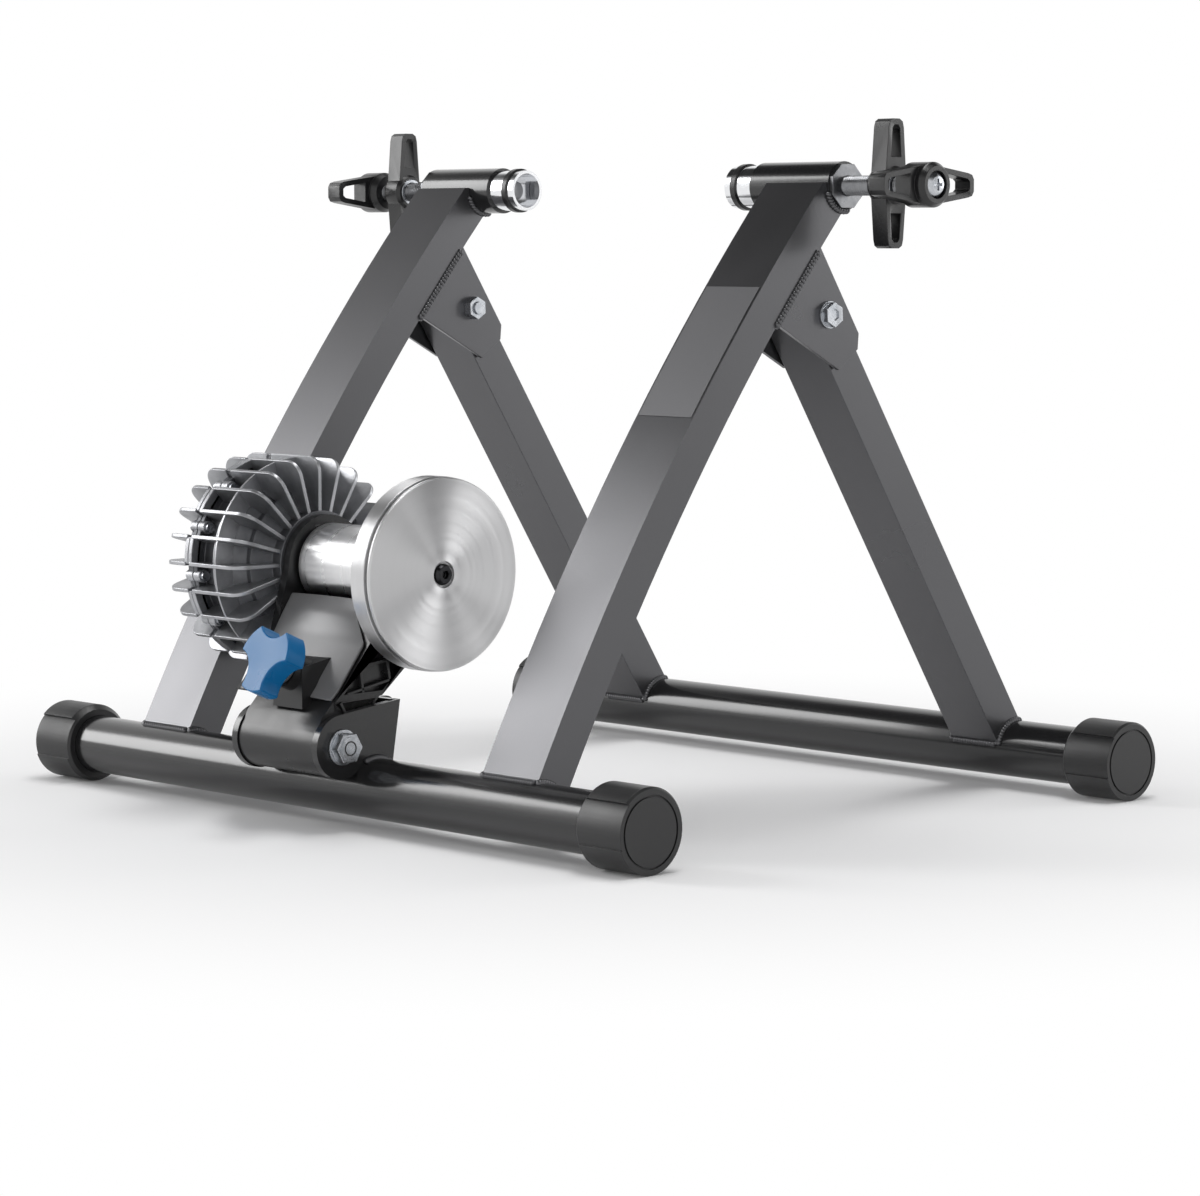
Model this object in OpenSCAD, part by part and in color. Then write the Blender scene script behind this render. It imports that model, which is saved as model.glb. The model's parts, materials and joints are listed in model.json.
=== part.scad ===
// Folding rear-wheel bike trainer with a finned fluid resistance unit.
// +X runs along the wheel axle to the right, +Y from the roller tube to the folding frame, +Z up.
// The origin is on the floor under the middle of the bounding box.

/* [Base frame] */
// Length over the end caps
base_len = 546; // [500:1:600]
// Outside diameter of both base tubes
tube_d = 36; // [34:0.5:38]
// Wall of the base tubes
tube_wall = 2; // [1.5:0.1:3]
// Distance between the two base tube axes
stance = 411; // [390:1:430]

/* [End caps] */
// Ground radius of a levelling end cap
cap_r = 24; // [23:0.1:25]
// Length of an end cap
cap_len = 36; // [30:1:42]
// Thickness of a cap's closed end
cap_end = 4; // [3:0.5:5]
// Extra radius of the high levelling sector
cap_high = 1; // [0.5:0.1:1.5]
// Radius taken off the low levelling sector
cap_low = 0.8; // [0.4:0.1:1.2]

/* [Uprights] */
// Distance of an upright from the middle plane
up_x = 161; // [158:0.5:166]
// Width of an upright across its front face
up_w = 47; // [46:0.5:48]
// Depth of an upright
up_d = 24; // [22:0.5:26]
// Wall of an upright
up_wall = 2; // [1.5:0.1:2.5]
// Bend radius of an upright's front face
up_r = 1653; // [1500:1:1800]
// Lean of an upright at the height of the base tube axis, in degrees
up_lean = 26.44; // [25:0.01:28]
// How far the front face lies before the base tube axis
up_set = 12.1; // [11:0.1:13]

/* [Wheel clamps] */
// Height of the clamp axis
clamp_h = 377; // [360:1:390]
// Depth of the clamp axis behind the front face of the uprights
clamp_set = 19.6; // [18:0.1:21]
// Outside diameter of a clamp sleeve
sleeve_d = 29.4; // [28.5:0.1:31]
// Inner end of a clamp sleeve, from the middle plane
sleeve_in = 120; // [116:0.5:124]
// Outer end of a clamp sleeve, from the middle plane
sleeve_out = 185; // [184:0.5:188]
// Diameter of a sliding cup tube
cup_d = 26; // [25:0.1:26.5]
// Half of the gap between the two cups
cup_in = 92; // [88:0.5:96]
// Diameter of the black cup end ring
ring_d = 30; // [28:0.5:32]
// Diameter of the threaded clamp rods
rod_d = 12; // [10:0.5:12.5]
// Half length of a clamp handle or lock wing
wing_r = 39; // [34:0.5:42]

/* [Folding rear frame] */
// Height of the fold hinge
hinge_h = 300.7; // [290:0.1:306]
// Depth of the fold hinge behind the front face of the uprights
hinge_set = 70; // [68:0.5:74]
// Width of a folding leg
leg_w = 38; // [34:0.5:40]
// Depth of a folding leg
leg_d = 25; // [22:0.5:26]
// Plate thickness of a hinge bracket
plate_t = 3; // [2.5:0.1:3.2]
// Diameter of the hinge bolts
hinge_bolt_d = 8; // [6:0.5:9]

/* [Resistance unit] */
// Height of the roller axis
roller_h = 148.7; // [146:0.1:154]
// Depth of the roller axis behind the front base tube axis
roller_y = 39.5; // [36:0.5:43]
// Diameter of the roller
roller_d = 50; // [44:0.5:50]
// Diameter of the flywheel
fly_d = 115.6; // [104:0.5:120]
// Width of the flywheel rim
fly_w = 17; // [14:0.5:17.5]
// Diameter over the cooling fins
drum_d = 130; // [124:1:132]
// Number of cooling fins on each casing half
fin_count = 24; // [12:12:24]
// Thickness of a cooling fin
fin_t = 2.6; // [2:0.1:3.2]
// Diameter of the roller shaft
shaft_d = 12; // [10:0.5:13]

/* [Swing arm] */
// Radius of the pivot barrel
barrel_r = 18; // [16:0.5:18.5]
// Direction of the pivot seen from the base tube axis, in degrees
pivot_dir = 133.9; // [130:0.1:138]
// Outer face of the bracket ears, from the middle plane
ear_x = 40; // [39.5:0.1:42]
// Thickness of the bracket ears
ear_t = 5; // [4:0.5:5]
// Diameter of the pivot bolt
pivot_d = 10; // [8:0.5:12]
// Downward tilt of the tension screw, in degrees
screw_tilt = 24; // [22:0.5:26]
// Diameter of the tension screw
screw_d = 8; // [6:0.5:8.5]
// Radius over the lobes of the tension knob
knob_r = 21.5; // [19:0.5:23]

/* [Part to show] */
// Sub-part to build, or all of them

/* [Hidden] */
$fn = 96;
// Running clearance of a shaft in its bore, on the radius
run = 0.05;
// Side gap between parts that move past each other
gap = 0.3;
tube_r = tube_d / 2;
rod_r = rod_d / 2;
shaft_r = shaft_d / 2;
sleeve_r0 = sleeve_d / 2;
cup_r0 = cup_d / 2;
drum_r = drum_d / 2;
fly_r = fly_d / 2;
hinge_r = hinge_bolt_d / 2;
// Centre of the bend of the uprights
bend_y = up_r * cos(up_lean) - up_set;
bend_z = cap_r - up_r * sin(up_lean);
up_end = asin((clamp_h + 12 - bend_z) / up_r);
function front_y(z) = bend_y - sqrt(up_r * up_r - (z - bend_z) * (z - bend_z));
clamp_y = front_y(clamp_h) + clamp_set;
hinge_y = front_y(hinge_h) + hinge_set;
leg_len = sqrt(pow(stance - hinge_y, 2) + pow(hinge_h - cap_r, 2));
leg_a = atan2(stance - hinge_y, hinge_h - cap_r);
leg_side = up_w / 2 - plate_t;
stop_y = leg_d / 2 + gap;
// Pivot of the swing arm, in front of and above the base tube
pivot_dist = tube_r + barrel_r + 0.8;
pivot_y = pivot_dist * cos(pivot_dir);
pivot_z = cap_r + pivot_dist * sin(pivot_dir);
ear_r = barrel_r + 1;
ear_in = ear_x - ear_t;
// Tension screw: its line, the knob face where it starts and the barrel nut where it is held
screw_x = 3.5;
knob_y = pivot_y - 29.5;
knob_z = pivot_z + 52.3;
knob_t = 14.3;
washer_t = 2.5;
seat_z = knob_t + washer_t + 2 * gap;
nut_t = 86.05;
nut_y = knob_y + nut_t * cos(screw_tilt);
nut_z = knob_z - nut_t * sin(screw_tilt);
// Everything is drawn with the front tube over y = 0, then moved so that the box is centred
low_y = knob_y - knob_r * sin(screw_tilt);
yo = -(stance + cap_r + cap_high + low_y) / 2;
tube_half = base_len / 2 - cap_end - gap;
// Resistance unit, along the axle
split_x = -108;
boss_at = 57;
hub_x = -58;
cheek_x = hub_x + 6;
arm_x = 36.3;
rib_x = arm_x - 2.5;
bear_x = arm_x - 5.5;
fly_back = arm_x + 2.7;
fly_face = fly_back + fly_w;
roller_l = cheek_x + 1.7;
roller_e = arm_x - 6.5;
// Lock wing and handle, along the axle
lock_a = 212;
lock_w = 17;
lock_b = lock_a + lock_w;
handle_gap = 7;
handle_w = 23;
handle_a = lock_b + handle_gap;
handle_b = handle_a + handle_w;
// Length of a sliding cup tube
cup_len = 74;

// Maps a profile to the YZ plane, extruded or turned about +X
module yz() rotate([90, 0, 90]) children();
module at_frame() translate([0, yo, 0]) children();
module xcyl(x, y, z, r, len) translate([x, y, z]) yz() cylinder(r = r, h = len);
module at_clamp() at_frame() translate([0, clamp_y, clamp_h]) children();
module at_roller() at_frame() translate([0, roller_y, roller_h]) children();
module at_leg() at_frame() translate([0, hinge_y, hinge_h]) rotate([leg_a, 0, 0]) children();
module at_screw() at_frame() translate([screw_x, knob_y, knob_z]) rotate([-90 - screw_tilt, 0, 0])
    children();
module spin_x(pts) yz() rotate_extrude() polygon(pts);

module base_tube(y) at_frame() difference() {
  xcyl(-tube_half, y, cap_r, tube_r, 2 * tube_half);
  xcyl(-tube_half - 1, y, cap_r, tube_r - tube_wall, 2 * tube_half + 2);
}
module front_tube() color("DimGray") base_tube(0);
module rear_tube() color("DimGray") base_tube(stance);

module upright() at_frame() difference() {
  intersection() {
    translate([up_x, bend_y, bend_z]) yz() rotate([0, 0, 180 - up_end])
      rotate_extrude(angle = up_end - up_lean, $fn = 360) translate([up_r - up_d, -up_w / 2])
      difference() {
        square([up_d, up_w]);
        translate([up_wall, up_wall]) square([up_d - 2 * up_wall, up_w - 2 * up_wall]);
      }
    translate([up_x - up_w, -60, 0]) cube([2 * up_w, stance, clamp_h + 2]);
  }
  xcyl(up_x - up_w, 0, cap_r, tube_r, 2 * up_w);
  xcyl(up_x - up_w, clamp_y, clamp_h, sleeve_r0, 2 * up_w);
}
module upright_r() color("DimGray") upright();
module upright_l() color("DimGray") mirror([1, 0, 0]) upright();

module sleeve() at_clamp() difference() {
  xcyl(sleeve_in, 0, 0, sleeve_r0, sleeve_out - sleeve_in);
  xcyl(sleeve_in - 1, 0, 0, cup_r0 + run, sleeve_out - sleeve_in - 6);
  xcyl(sleeve_out - 8, 0, 0, sleeve_r0 - 3.5, 9);
}
module sleeve_r() color("DimGray") sleeve();
module sleeve_l() color("DimGray") mirror([1, 0, 0]) sleeve();

module sleeve_nut() at_clamp() difference() {
  union() {
    xcyl(sleeve_out - 7, 0, 0, sleeve_r0 - 3.5, 7);
    translate([sleeve_out, 0, 0]) yz() rotate([0, 0, 22.5]) cylinder(r = sleeve_r0 - 0.6, h = 3, $fn = 8);
  }
  xcyl(sleeve_out - 8, 0, 0, rod_r + run, 12);
}
module sleeve_nut_r() color("Silver") sleeve_nut();
module sleeve_nut_l() color("Silver") mirror([1, 0, 0]) sleeve_nut();

module bracket_outline(x, len) translate([x, 0, 0]) yz() linear_extrude(len)
  polygon([[stop_y + plate_t, 70], [stop_y + plate_t, -24], [10, -31.5], [-10, -33], [-38, 17],
    [-60, 40], [-60, 70]]);
module hinge_bracket() difference() {
  intersection() {
    at_leg() union() {
      bracket_outline(up_x - up_w / 2, plate_t);
      bracket_outline(up_x + leg_side, plate_t);
      translate([up_x - up_w / 2, stop_y, -24]) cube([up_w, plate_t, 94]);
    }
    at_frame() xcyl(up_x - up_w, bend_y, bend_z, up_r - up_d, 2 * up_w, $fn = 360);
  }
  at_leg() xcyl(up_x - up_w, 0, 0, hinge_r + 0.2, 2 * up_w);
}
module hinge_bracket_r() color("DimGray") hinge_bracket();
module hinge_bracket_l() color("DimGray") mirror([1, 0, 0]) hinge_bracket();

module hinge_bolt() at_leg() difference() {
  union() {
    xcyl(up_x - up_w / 2 - 8, 0, 0, hinge_r, up_w + 8);
    translate([up_x + up_w / 2, 0, 0]) yz() cylinder(r = hinge_r * 1.88, h = 5.4, $fn = 6);
    xcyl(up_x + up_w / 2, 0, 0, hinge_r * 2.05, 1.4);
  }
  translate([up_x + up_w / 2 + 4.4, 0, 0]) yz() cylinder(r = hinge_r * 0.9, h = 2, $fn = 6);
}
module hinge_bolt_r() color("Silver") hinge_bolt();
module hinge_bolt_l() color("Silver") mirror([1, 0, 0]) hinge_bolt();

module hinge_nut() at_leg() difference() {
  translate([up_x - up_w / 2 - 6.5, 0, 0]) yz() cylinder(r = hinge_r * 1.88, h = 6.5, $fn = 6);
  xcyl(up_x - up_w / 2 - 7, 0, 0, hinge_r, 8);
}
module hinge_nut_r() color("Silver") hinge_nut();
module hinge_nut_l() color("Silver") mirror([1, 0, 0]) hinge_nut();

module leg() difference() {
  at_leg() union() {
    translate([up_x - leg_w / 2, -leg_d / 2, -leg_len]) cube([leg_w, leg_d, leg_len]);
    xcyl(up_x - leg_w / 2, 0, 0, leg_d / 2, leg_w);
  }
  at_leg() translate([up_x - leg_w / 2 + 2, -leg_d / 2 + 2, -leg_len - 1])
    cube([leg_w - 4, leg_d - 4, leg_len - 24]);
  at_leg() xcyl(up_x - leg_w, 0, 0, hinge_r + 2, 2 * leg_w);
  at_frame() xcyl(up_x - leg_w, stance, cap_r, tube_r, 2 * leg_w);
}
module leg_r() color("DimGray") leg();
module leg_l() color("DimGray") mirror([1, 0, 0]) leg();

module leg_bush() at_leg() difference() {
  xcyl(up_x - leg_w / 2 - 0.5, 0, 0, hinge_r + 2, leg_w + 1);
  xcyl(up_x - leg_w / 2 - 1, 0, 0, hinge_r + run, leg_w + 2);
}
module leg_bush_r() color("White") leg_bush();
module leg_bush_l() color("White") mirror([1, 0, 0]) leg_bush();

module cap_cut(r, a, sweep) yz() rotate([0, 0, a]) rotate_extrude(angle = sweep)
  polygon([[r, -1], [r, cap_len + 1], [cap_r + 5, cap_len + 1], [cap_r + 5, -1]]);
module end_cap(y) at_frame() translate([base_len / 2 - cap_len, y, cap_r]) difference() {
  spin_x([[0, cap_len - cap_end], [tube_r + 0.1, cap_len - cap_end], [tube_r + 0.1, 0],
    [cap_r + cap_high - 3, 0], [cap_r + cap_high, 4], [cap_r + cap_high, cap_len - 1.2],
    [cap_r + cap_high - 1.2, cap_len], [cap_r - 3.4, cap_len], [cap_r - 3.4, cap_len - 1],
    [cap_r - 4.6, cap_len - 1], [cap_r - 4.6, cap_len], [0, cap_len]]);
  cap_cut(cap_r - cap_low, 135, 65);
  cap_cut(cap_r, 198, 158);
}
module cap_front_r() color("Black") end_cap(0);
module cap_front_l() color("Black") mirror([1, 0, 0]) end_cap(0);
module cap_rear_r() color("Black") end_cap(stance);
module cap_rear_l() color("Black") mirror([1, 0, 0]) end_cap(stance);

module cup() at_clamp() spin_x([[cup_r0 - 2, cup_in + 5], [cup_r0, cup_in + 5], [cup_r0, cup_in + cup_len],
  [cup_r0 - 2, cup_in + cup_len], [cup_r0 - 2, cup_in + 30], [rod_r - 1.95, cup_in + 30],
  [rod_r - 1.95, cup_in + 20], [cup_r0 - 2, cup_in + 20]]);
module cup_r() color("WhiteSmoke") cup();
module cup_l() color("WhiteSmoke") mirror([1, 0, 0]) cup();

module cup_ring() at_clamp() spin_x([[12, cup_in], [ring_d / 2 - 1, cup_in], [ring_d / 2, cup_in + 1],
  [ring_d / 2, cup_in + 5], [cup_r0 - 2, cup_in + 5], [cup_r0 - 2, cup_in + 14], [8, cup_in + 14],
  [8, cup_in + 6]]);
module cup_ring_r() color("Black") cup_ring();
module cup_ring_l() color("Black") mirror([1, 0, 0]) cup_ring();

module rod() at_clamp() difference() {
  spin_x([[0, cup_in + 15.4], [rod_r, cup_in + 15.4], [rod_r, cup_in + 19.7], [rod_r - 2, cup_in + 19.7],
    [rod_r - 2, cup_in + 30.3], [rod_r, cup_in + 30.3], [rod_r, handle_b - 3], [0, handle_b - 3]]);
  xcyl(handle_b - 15, 0, 0, 2.5, 20);
}
module rod_r() color("Silver") rod();
module rod_l() color("Silver") mirror([1, 0, 0]) rod();

module arm_plate(root, tip, r, x, len) translate([x, 0, 0]) yz() linear_extrude(len) difference() {
  polygon([[-root, 4], [root, 4], [tip + 1, r - 5], [tip, r - 1.6], [tip - 2.6, r], [2.6 - tip, r],
    [-tip, r - 1.6], [-tip - 1, r - 5]]);
  polygon([[2.8 - root * 0.8, 16.5], [root * 0.8 - 2.8, 16.5], [tip - 2.4, r - 5.6], [tip - 4, r - 3.6],
    [4 - tip, r - 3.6], [2.4 - tip, r - 5.6]]);
}
module handle() at_clamp() difference() {
  union() {
    spin_x([[0, handle_a], [11, handle_a], [13.3, handle_a + 4], [13.3, handle_b - 3],
      [11, handle_b], [0, handle_b]]);
    rotate([90, 0, 0]) arm_plate(11.5, 6.2, wing_r, handle_a + 5, 12);
    rotate([-90, 0, 0]) arm_plate(11.5, 6.2, wing_r, handle_a + 5, 12);
  }
  xcyl(handle_a - 1, 0, 0, rod_r, handle_b - handle_a - 2);
  xcyl(handle_b - 3, 0, 0, 8.2, 4);
}
module handle_r() color("Black") handle();
module handle_l() color("Black") mirror([1, 0, 0]) handle();

module handle_screw() at_clamp() difference() {
  spin_x([[0, handle_b - 14], [2.5, handle_b - 14], [2.5, handle_b - 3], [7.4, handle_b - 3],
    [7.4, handle_b - 1.6], [5, handle_b + 0.6], [0, handle_b + 1]]);
  translate([handle_b - 1.2, -3.4, -0.8]) cube([3, 6.8, 1.6]);
  translate([handle_b - 1.2, -0.8, -3.4]) cube([3, 1.6, 6.8]);
}
module handle_screw_r() color("Silver") handle_screw();
module handle_screw_l() color("Silver") mirror([1, 0, 0]) handle_screw();

module lock_insert() at_clamp() difference() {
  xcyl(lock_a, 0, 0, rod_r + 2.5, lock_b - lock_a);
  xcyl(lock_a - 1, 0, 0, rod_r + run, lock_b - lock_a + 2);
}
module lock_insert_r() color("Silver") lock_insert();
module lock_insert_l() color("Silver") mirror([1, 0, 0]) lock_insert();

module lock_wing() at_clamp() difference() {
  union() {
    spin_x([[0, lock_a + 0.5], [10, lock_a + 0.5], [11.6, lock_a + 3], [11.6, lock_b - 3],
        [10, lock_b - 0.5], [0, lock_b - 0.5]]);
    arm_plate(9, 5.6, wing_r, lock_a + 2.5, 12);
    rotate([180, 0, 0]) arm_plate(9, 5.6, wing_r - 2, lock_a + 2.5, 12);
  }
  xcyl(lock_a - 1, 0, 0, rod_r + 2.5 + run, lock_b - lock_a + 2);
}
module lock_wing_r() color("Black") lock_wing();
module lock_wing_l() color("Black") mirror([1, 0, 0]) lock_wing();

module ear(x) union() {
  xcyl(x, pivot_y, pivot_z, ear_r, ear_t);
  translate([x, 0, 0]) yz() linear_extrude(ear_t)
    polygon([[pivot_y, pivot_z], [0, cap_r], [12.5, cap_r + 12], [18.8, cap_r + 51.4],
        [pivot_y - 2.4, pivot_z + ear_r - 0.1]]);
}
module nut_lug(x) union() {
  xcyl(x, nut_y, nut_z, 7.5, 3);
  translate([x, 13, nut_z - 7.5]) cube([3, nut_y - 13, 15]);
}
module base_bracket() color("DimGray") at_frame() difference() {
  union() {
    ear(-ear_x);
    ear(ear_in);
    translate([-ear_in - 1, 0, 0]) yz() linear_extrude(2 * ear_in + 2)
      polygon([[12.5, cap_r + 12], [18, cap_r + 51.4], [14, cap_r + 51.4], [8.5, cap_r + 12]]);
    nut_lug(screw_x - 17.5);
    nut_lug(screw_x + 14.5);
  }
  xcyl(-ear_x - 1, 0, cap_r, tube_r, 2 * ear_x + 2);
  xcyl(-ear_x - 1, pivot_y, pivot_z, pivot_d / 2 + 0.2, 2 * ear_x + 2);
  xcyl(screw_x - 20, nut_y, nut_z, 4 + run, 40);
  translate([screw_x - screw_d / 2 - 0.8, 4, cap_r + 33]) cube([screw_d + 1.6, 17, 30]);
}

module pivot_bolt() color("Silver") at_frame() difference() {
  union() {
    xcyl(-ear_x - 9, pivot_y, pivot_z, pivot_d / 2, 2 * ear_x + 9);
    xcyl(ear_x, pivot_y, pivot_z, pivot_d * 1.05, 1.6);
    translate([ear_x, pivot_y, pivot_z]) yz() cylinder(r = pivot_d * 0.95, h = 7.4, $fn = 6);
  }
  xcyl(ear_x + 6, pivot_y, pivot_z, pivot_d * 0.42, 3);
}
module pivot_nut() color("Silver") at_frame() difference() {
  translate([-ear_x - 8, pivot_y, pivot_z]) yz() cylinder(r = pivot_d * 0.95, h = 8, $fn = 6);
  xcyl(-ear_x - 9, pivot_y, pivot_z, pivot_d / 2, 10);
}

wide = [[-27.7, 76.6], [-21.6, 82], [-0.8, 109.7], [6, 121], [13, 131.5], [58, 131.5], [58, 122],
    [26, 93.4], [8, 78.1]];
cheek = [[-27.7, 76.6], [-21.6, 82], [-0.8, 109.7], [23.5, 153.5], [55.5, 143], [50, 118], [26, 93.4],
    [8, 78.1]];
low = [[-40.5, 60], [-36.5, 67.5], [-27.7, 76.7], [8, 78.2], [-8, 62], [pivot_y, pivot_z]];
ribs = [[-24, 84, 46], [-12, 74, 46], [0, 88, -48], [14, 102, -48], [4, 92, 100], [20, 104, 100]];
module side(pts, x, len) translate([x, 0, 0]) yz() linear_extrude(len) polygon(pts);
module rib_bar(r) translate([rib_x - 1, r[0], r[1]]) rotate([r[2],
    0, 0]) translate([0, -30, -0.9]) cube([arm_x - rib_x + 1, 60, 1.8]);
module boss_block(e) at_frame() side([[-35.5 - e, 71.5 - e], [-35.5 - e, 96 + e], [-10, 101 + e],
    [2, 101 + e], [2, 71.5 - e]],
  screw_x - 15 - e, 27 + 2 * e);
module swing_arm() color("Black") difference() {
  union() {
    at_frame() xcyl(-ear_in + gap, pivot_y, pivot_z, barrel_r, 2 * ear_in - 2 * gap);
    at_frame() side(low, -ear_in + gap, 2 * ear_in - 2 * gap);
    at_frame() difference() {
      side(wide, cheek_x, bear_x - cheek_x);
      side([[-12, 84], [9, 112], [17, 126], [40, 140], [50, 126], [24, 99], [6, 84]], cheek_x + 3, 26);
      side([[-12, 84], [9, 112], [17, 126], [40, 140], [50, 126], [24, 99], [6, 84]], cheek_x + 32, 20);
      side([[-12, 84], [9, 112], [17, 126], [40, 140], [50, 126], [24, 99], [6, 84]], cheek_x + 58, 24);
    }
    at_frame() side(cheek, bear_x, rib_x - bear_x);
    at_roller() xcyl(bear_x, 0, 0, 17, arm_x - bear_x);
    at_frame() intersection() {
      side(cheek, bear_x, arm_x - bear_x);
      union() {
        for (r = ribs) rib_bar(r);
        difference() {
          translate([rib_x - 1, -60, 60]) cube([arm_x - rib_x + 1, 140, 120]);
          side([[-21, 80.5], [-19, 82.5], [1.4, 109.6], [20, 142], [50, 133], [46.5, 117], [24.5, 95],
              [8.5, 81]], rib_x - 2, 8);
        }
      }
    }
    at_frame() side([[-27.7, 76.6], [-21.6, 82], [-0.8, 109.7], [9.5, 148.7], [69, 143], [56, 120],
        [26, 93.4], [8, 78.1]], hub_x, 6);
    at_roller() xcyl(hub_x, 0, 0, 30, 6);
    boss_block(0);
    at_screw() intersection() {
      translate([0, 0, seat_z]) cylinder(r = 11.4, h = 22);
      translate([-20, 0, seat_z + 40]) yz() cylinder(r = 40, h = 40);
    }
  }
  at_roller() xcyl(cheek_x, 0, 0, roller_d / 2 + 2.5, bear_x - cheek_x);
  at_roller() xcyl(hub_x - 1, 0, 0, shaft_r + 3, 30);
  at_roller() xcyl(bear_x - 1, 0, 0, 10.5, 12);
  at_frame() xcyl(-60, pivot_y, pivot_z, pivot_d / 2 + run, 120);
  at_screw() translate([-screw_d / 2 - 0.6, 0, 0]) yz() linear_extrude(screw_d + 1.2)
    polygon([[-4.6, 12], [4.6, 12], [4.6, seat_z], [18.2, 80], [-4.6, 80]]);
}
module arm_cover() color("Gray") difference() {
  at_frame() side([[-27.7, 76.6], [-21.6, 82], [-0.8, 109.7], [6, 121], [13, 131.5], [11.4, 132.9],
      [4.2, 122.1], [-2.5, 110.9],
    [-23.1, 83.5], [-29.1, 78.1]], cheek_x, rib_x - cheek_x);
  boss_block(gap);
  at_frame() translate([0, 60, 0]) rotate([90, 0, 0]) linear_extrude(120)
    polygon([[rib_x - 1, 109], [60, 109], [60, 150], [10, 150], [16, 124]]);
}

module fins(prof) for (i = [0 : fin_count - 1]) rotate([i * 360 / fin_count, 0, 0])
  rotate([90, 0, 0]) translate([0, 0, -fin_t / 2]) linear_extrude(fin_t) polygon(prof);
module bosses(x, len) for (i = [0 : fin_count / 2 - 1]) rotate([(2 * i + 0.5) * 360 / fin_count, 0, 0])
    xcyl(x, 0, boss_at, 4.2, len);
module screw_holes(x, len) for (i = [0 : fin_count / 2 - 1]) rotate([(2 * i + 0.5)
    * 360 / fin_count, 0, 0]) xcyl(x, 0, boss_at, 1.6, len);
module casing_inner() color("DarkGray") at_roller() difference() {
  union() {
    spin_x([[49, split_x], [60, split_x], [60, split_x + 3.5], [54, split_x + 3.5], [54, -84], [45, -75],
        [45, -71], [32, -66],
      [32, hub_x], [14, hub_x], [14, hub_x - 8.3], [9, hub_x - 8.3], [9, -72], [39, -80], [49, -90]]);
    fins([[split_x + 2, 52], [split_x + 2, drum_r], [-68, drum_r], [-63, drum_r - 2.5],
        [-60.5, drum_r - 8], [-59, 36], [-59, 31],
      [-67, 31], [-72, 44], [-86, 52]]);
    bosses(split_x + 0.5, 6);
  }
  screw_holes(split_x - 1, 10);
}
module casing_outer() color("DarkGray") at_roller() difference() {
  union() {
    spin_x([[49, split_x], [60, split_x], [60, split_x - 3.5], [54, split_x - 3.5], [54, -121],
        [45, -128], [20, -129], [18, -133],
      [0, -133], [0, -130], [11, -130], [11, -121.5], [14, -121.5], [14, -118], [40, -118], [49, -114]]);
    fins([[split_x - 2, 52], [split_x - 2, drum_r], [-123, drum_r], [-128.5, drum_r - 2.5],
        [-131.5, drum_r - 9], [-132.5, 40],
      [-132.5, 22], [-128, 22], [-127, 44], [-120, 52]]);
    bosses(split_x - 6.5, 6);
  }
  screw_holes(split_x - 10, 12);
}
module casing_screws() color("Silver") at_roller() union() {
  screw_holes(split_x - 6.5, 13);
  for (i = [0 : fin_count / 2 - 1]) rotate([(2 * i + 0.5) * 360 / fin_count, 0, 0]) union() {
    xcyl(split_x + 6.5, 0, boss_at, 3, 2);
    xcyl(split_x - 8.5, 0, boss_at, 3, 2);
  }
}
module bearing(x, r, len) at_roller() difference() {
  xcyl(x, 0, 0, r, len);
  xcyl(x - 1, 0, 0, shaft_r + run, len + 2);
}
module bearing_outer() color("Silver") bearing(-129.8, 11, 8);
module bearing_inner() color("Silver") bearing(hub_x - 8.2, 14, 8);
module arm_bearing() color("Silver") bearing(bear_x + 0.3, 10.5, 5);

module shaft() color("Silver") at_roller() difference() {
  xcyl(-129.5, 0, 0, shaft_r, fly_face - 2 + 129.5);
  xcyl(fly_face - 16, 0, 0, 3, 20);
}
module impeller() color("Silver") at_roller() difference() {
  union() {
    xcyl(-112, 0, 0, 11, 28);
    xcyl(-99, 0, 0, 45, 2);
    for (i = [0 : 7]) rotate([i * 45, 0, 0]) translate([-111, -1, 8]) cube([20, 2, 37]);
  }
  xcyl(-113, 0, 0, shaft_r, 30);
}
module roller() color("Gainsboro") at_roller() spin_x([[shaft_r, roller_l], [roller_d / 2 - 1, roller_l],
    [roller_d / 2, roller_l + 1],
  [roller_d / 2, roller_e - 1], [roller_d / 2 - 1, roller_e], [shaft_r, roller_e],
      [shaft_r, roller_e - 8],
  [roller_d / 2 - 4, roller_e - 8], [roller_d / 2 - 4, roller_l + 8], [shaft_r, roller_l + 8]]);
module flywheel() color("Gainsboro") at_roller() spin_x([[shaft_r, fly_back], [20, fly_back],
    [20, fly_back + 5], [fly_r - 9, fly_back + 5],
  [fly_r - 9, fly_back], [fly_r - 0.8, fly_back], [fly_r, fly_back + 0.8], [fly_r, fly_face - 3.2],
      [fly_r - 1.6, fly_face - 3.2],
  [fly_r - 1.6, fly_face - 1.8], [fly_r - 0.4, fly_face - 1.8], [fly_r - 0.4, fly_face - 0.8],
      [fly_r - 1.2, fly_face],
  [8, fly_face], [8, fly_face - 2], [shaft_r, fly_face - 2]]);
module flywheel_bolt() color("DimGray") at_roller() difference() {
  spin_x([[0, fly_face - 14], [3, fly_face - 14], [3, fly_face - 2], [6.4, fly_face - 2],
      [6.4, fly_face - 0.6], [5, fly_face + 1.6], [0, fly_face + 1.6]]);
  translate([fly_face - 1, 0, 0]) yz() cylinder(r = 2.6, h = 4, $fn = 6);
}

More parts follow.
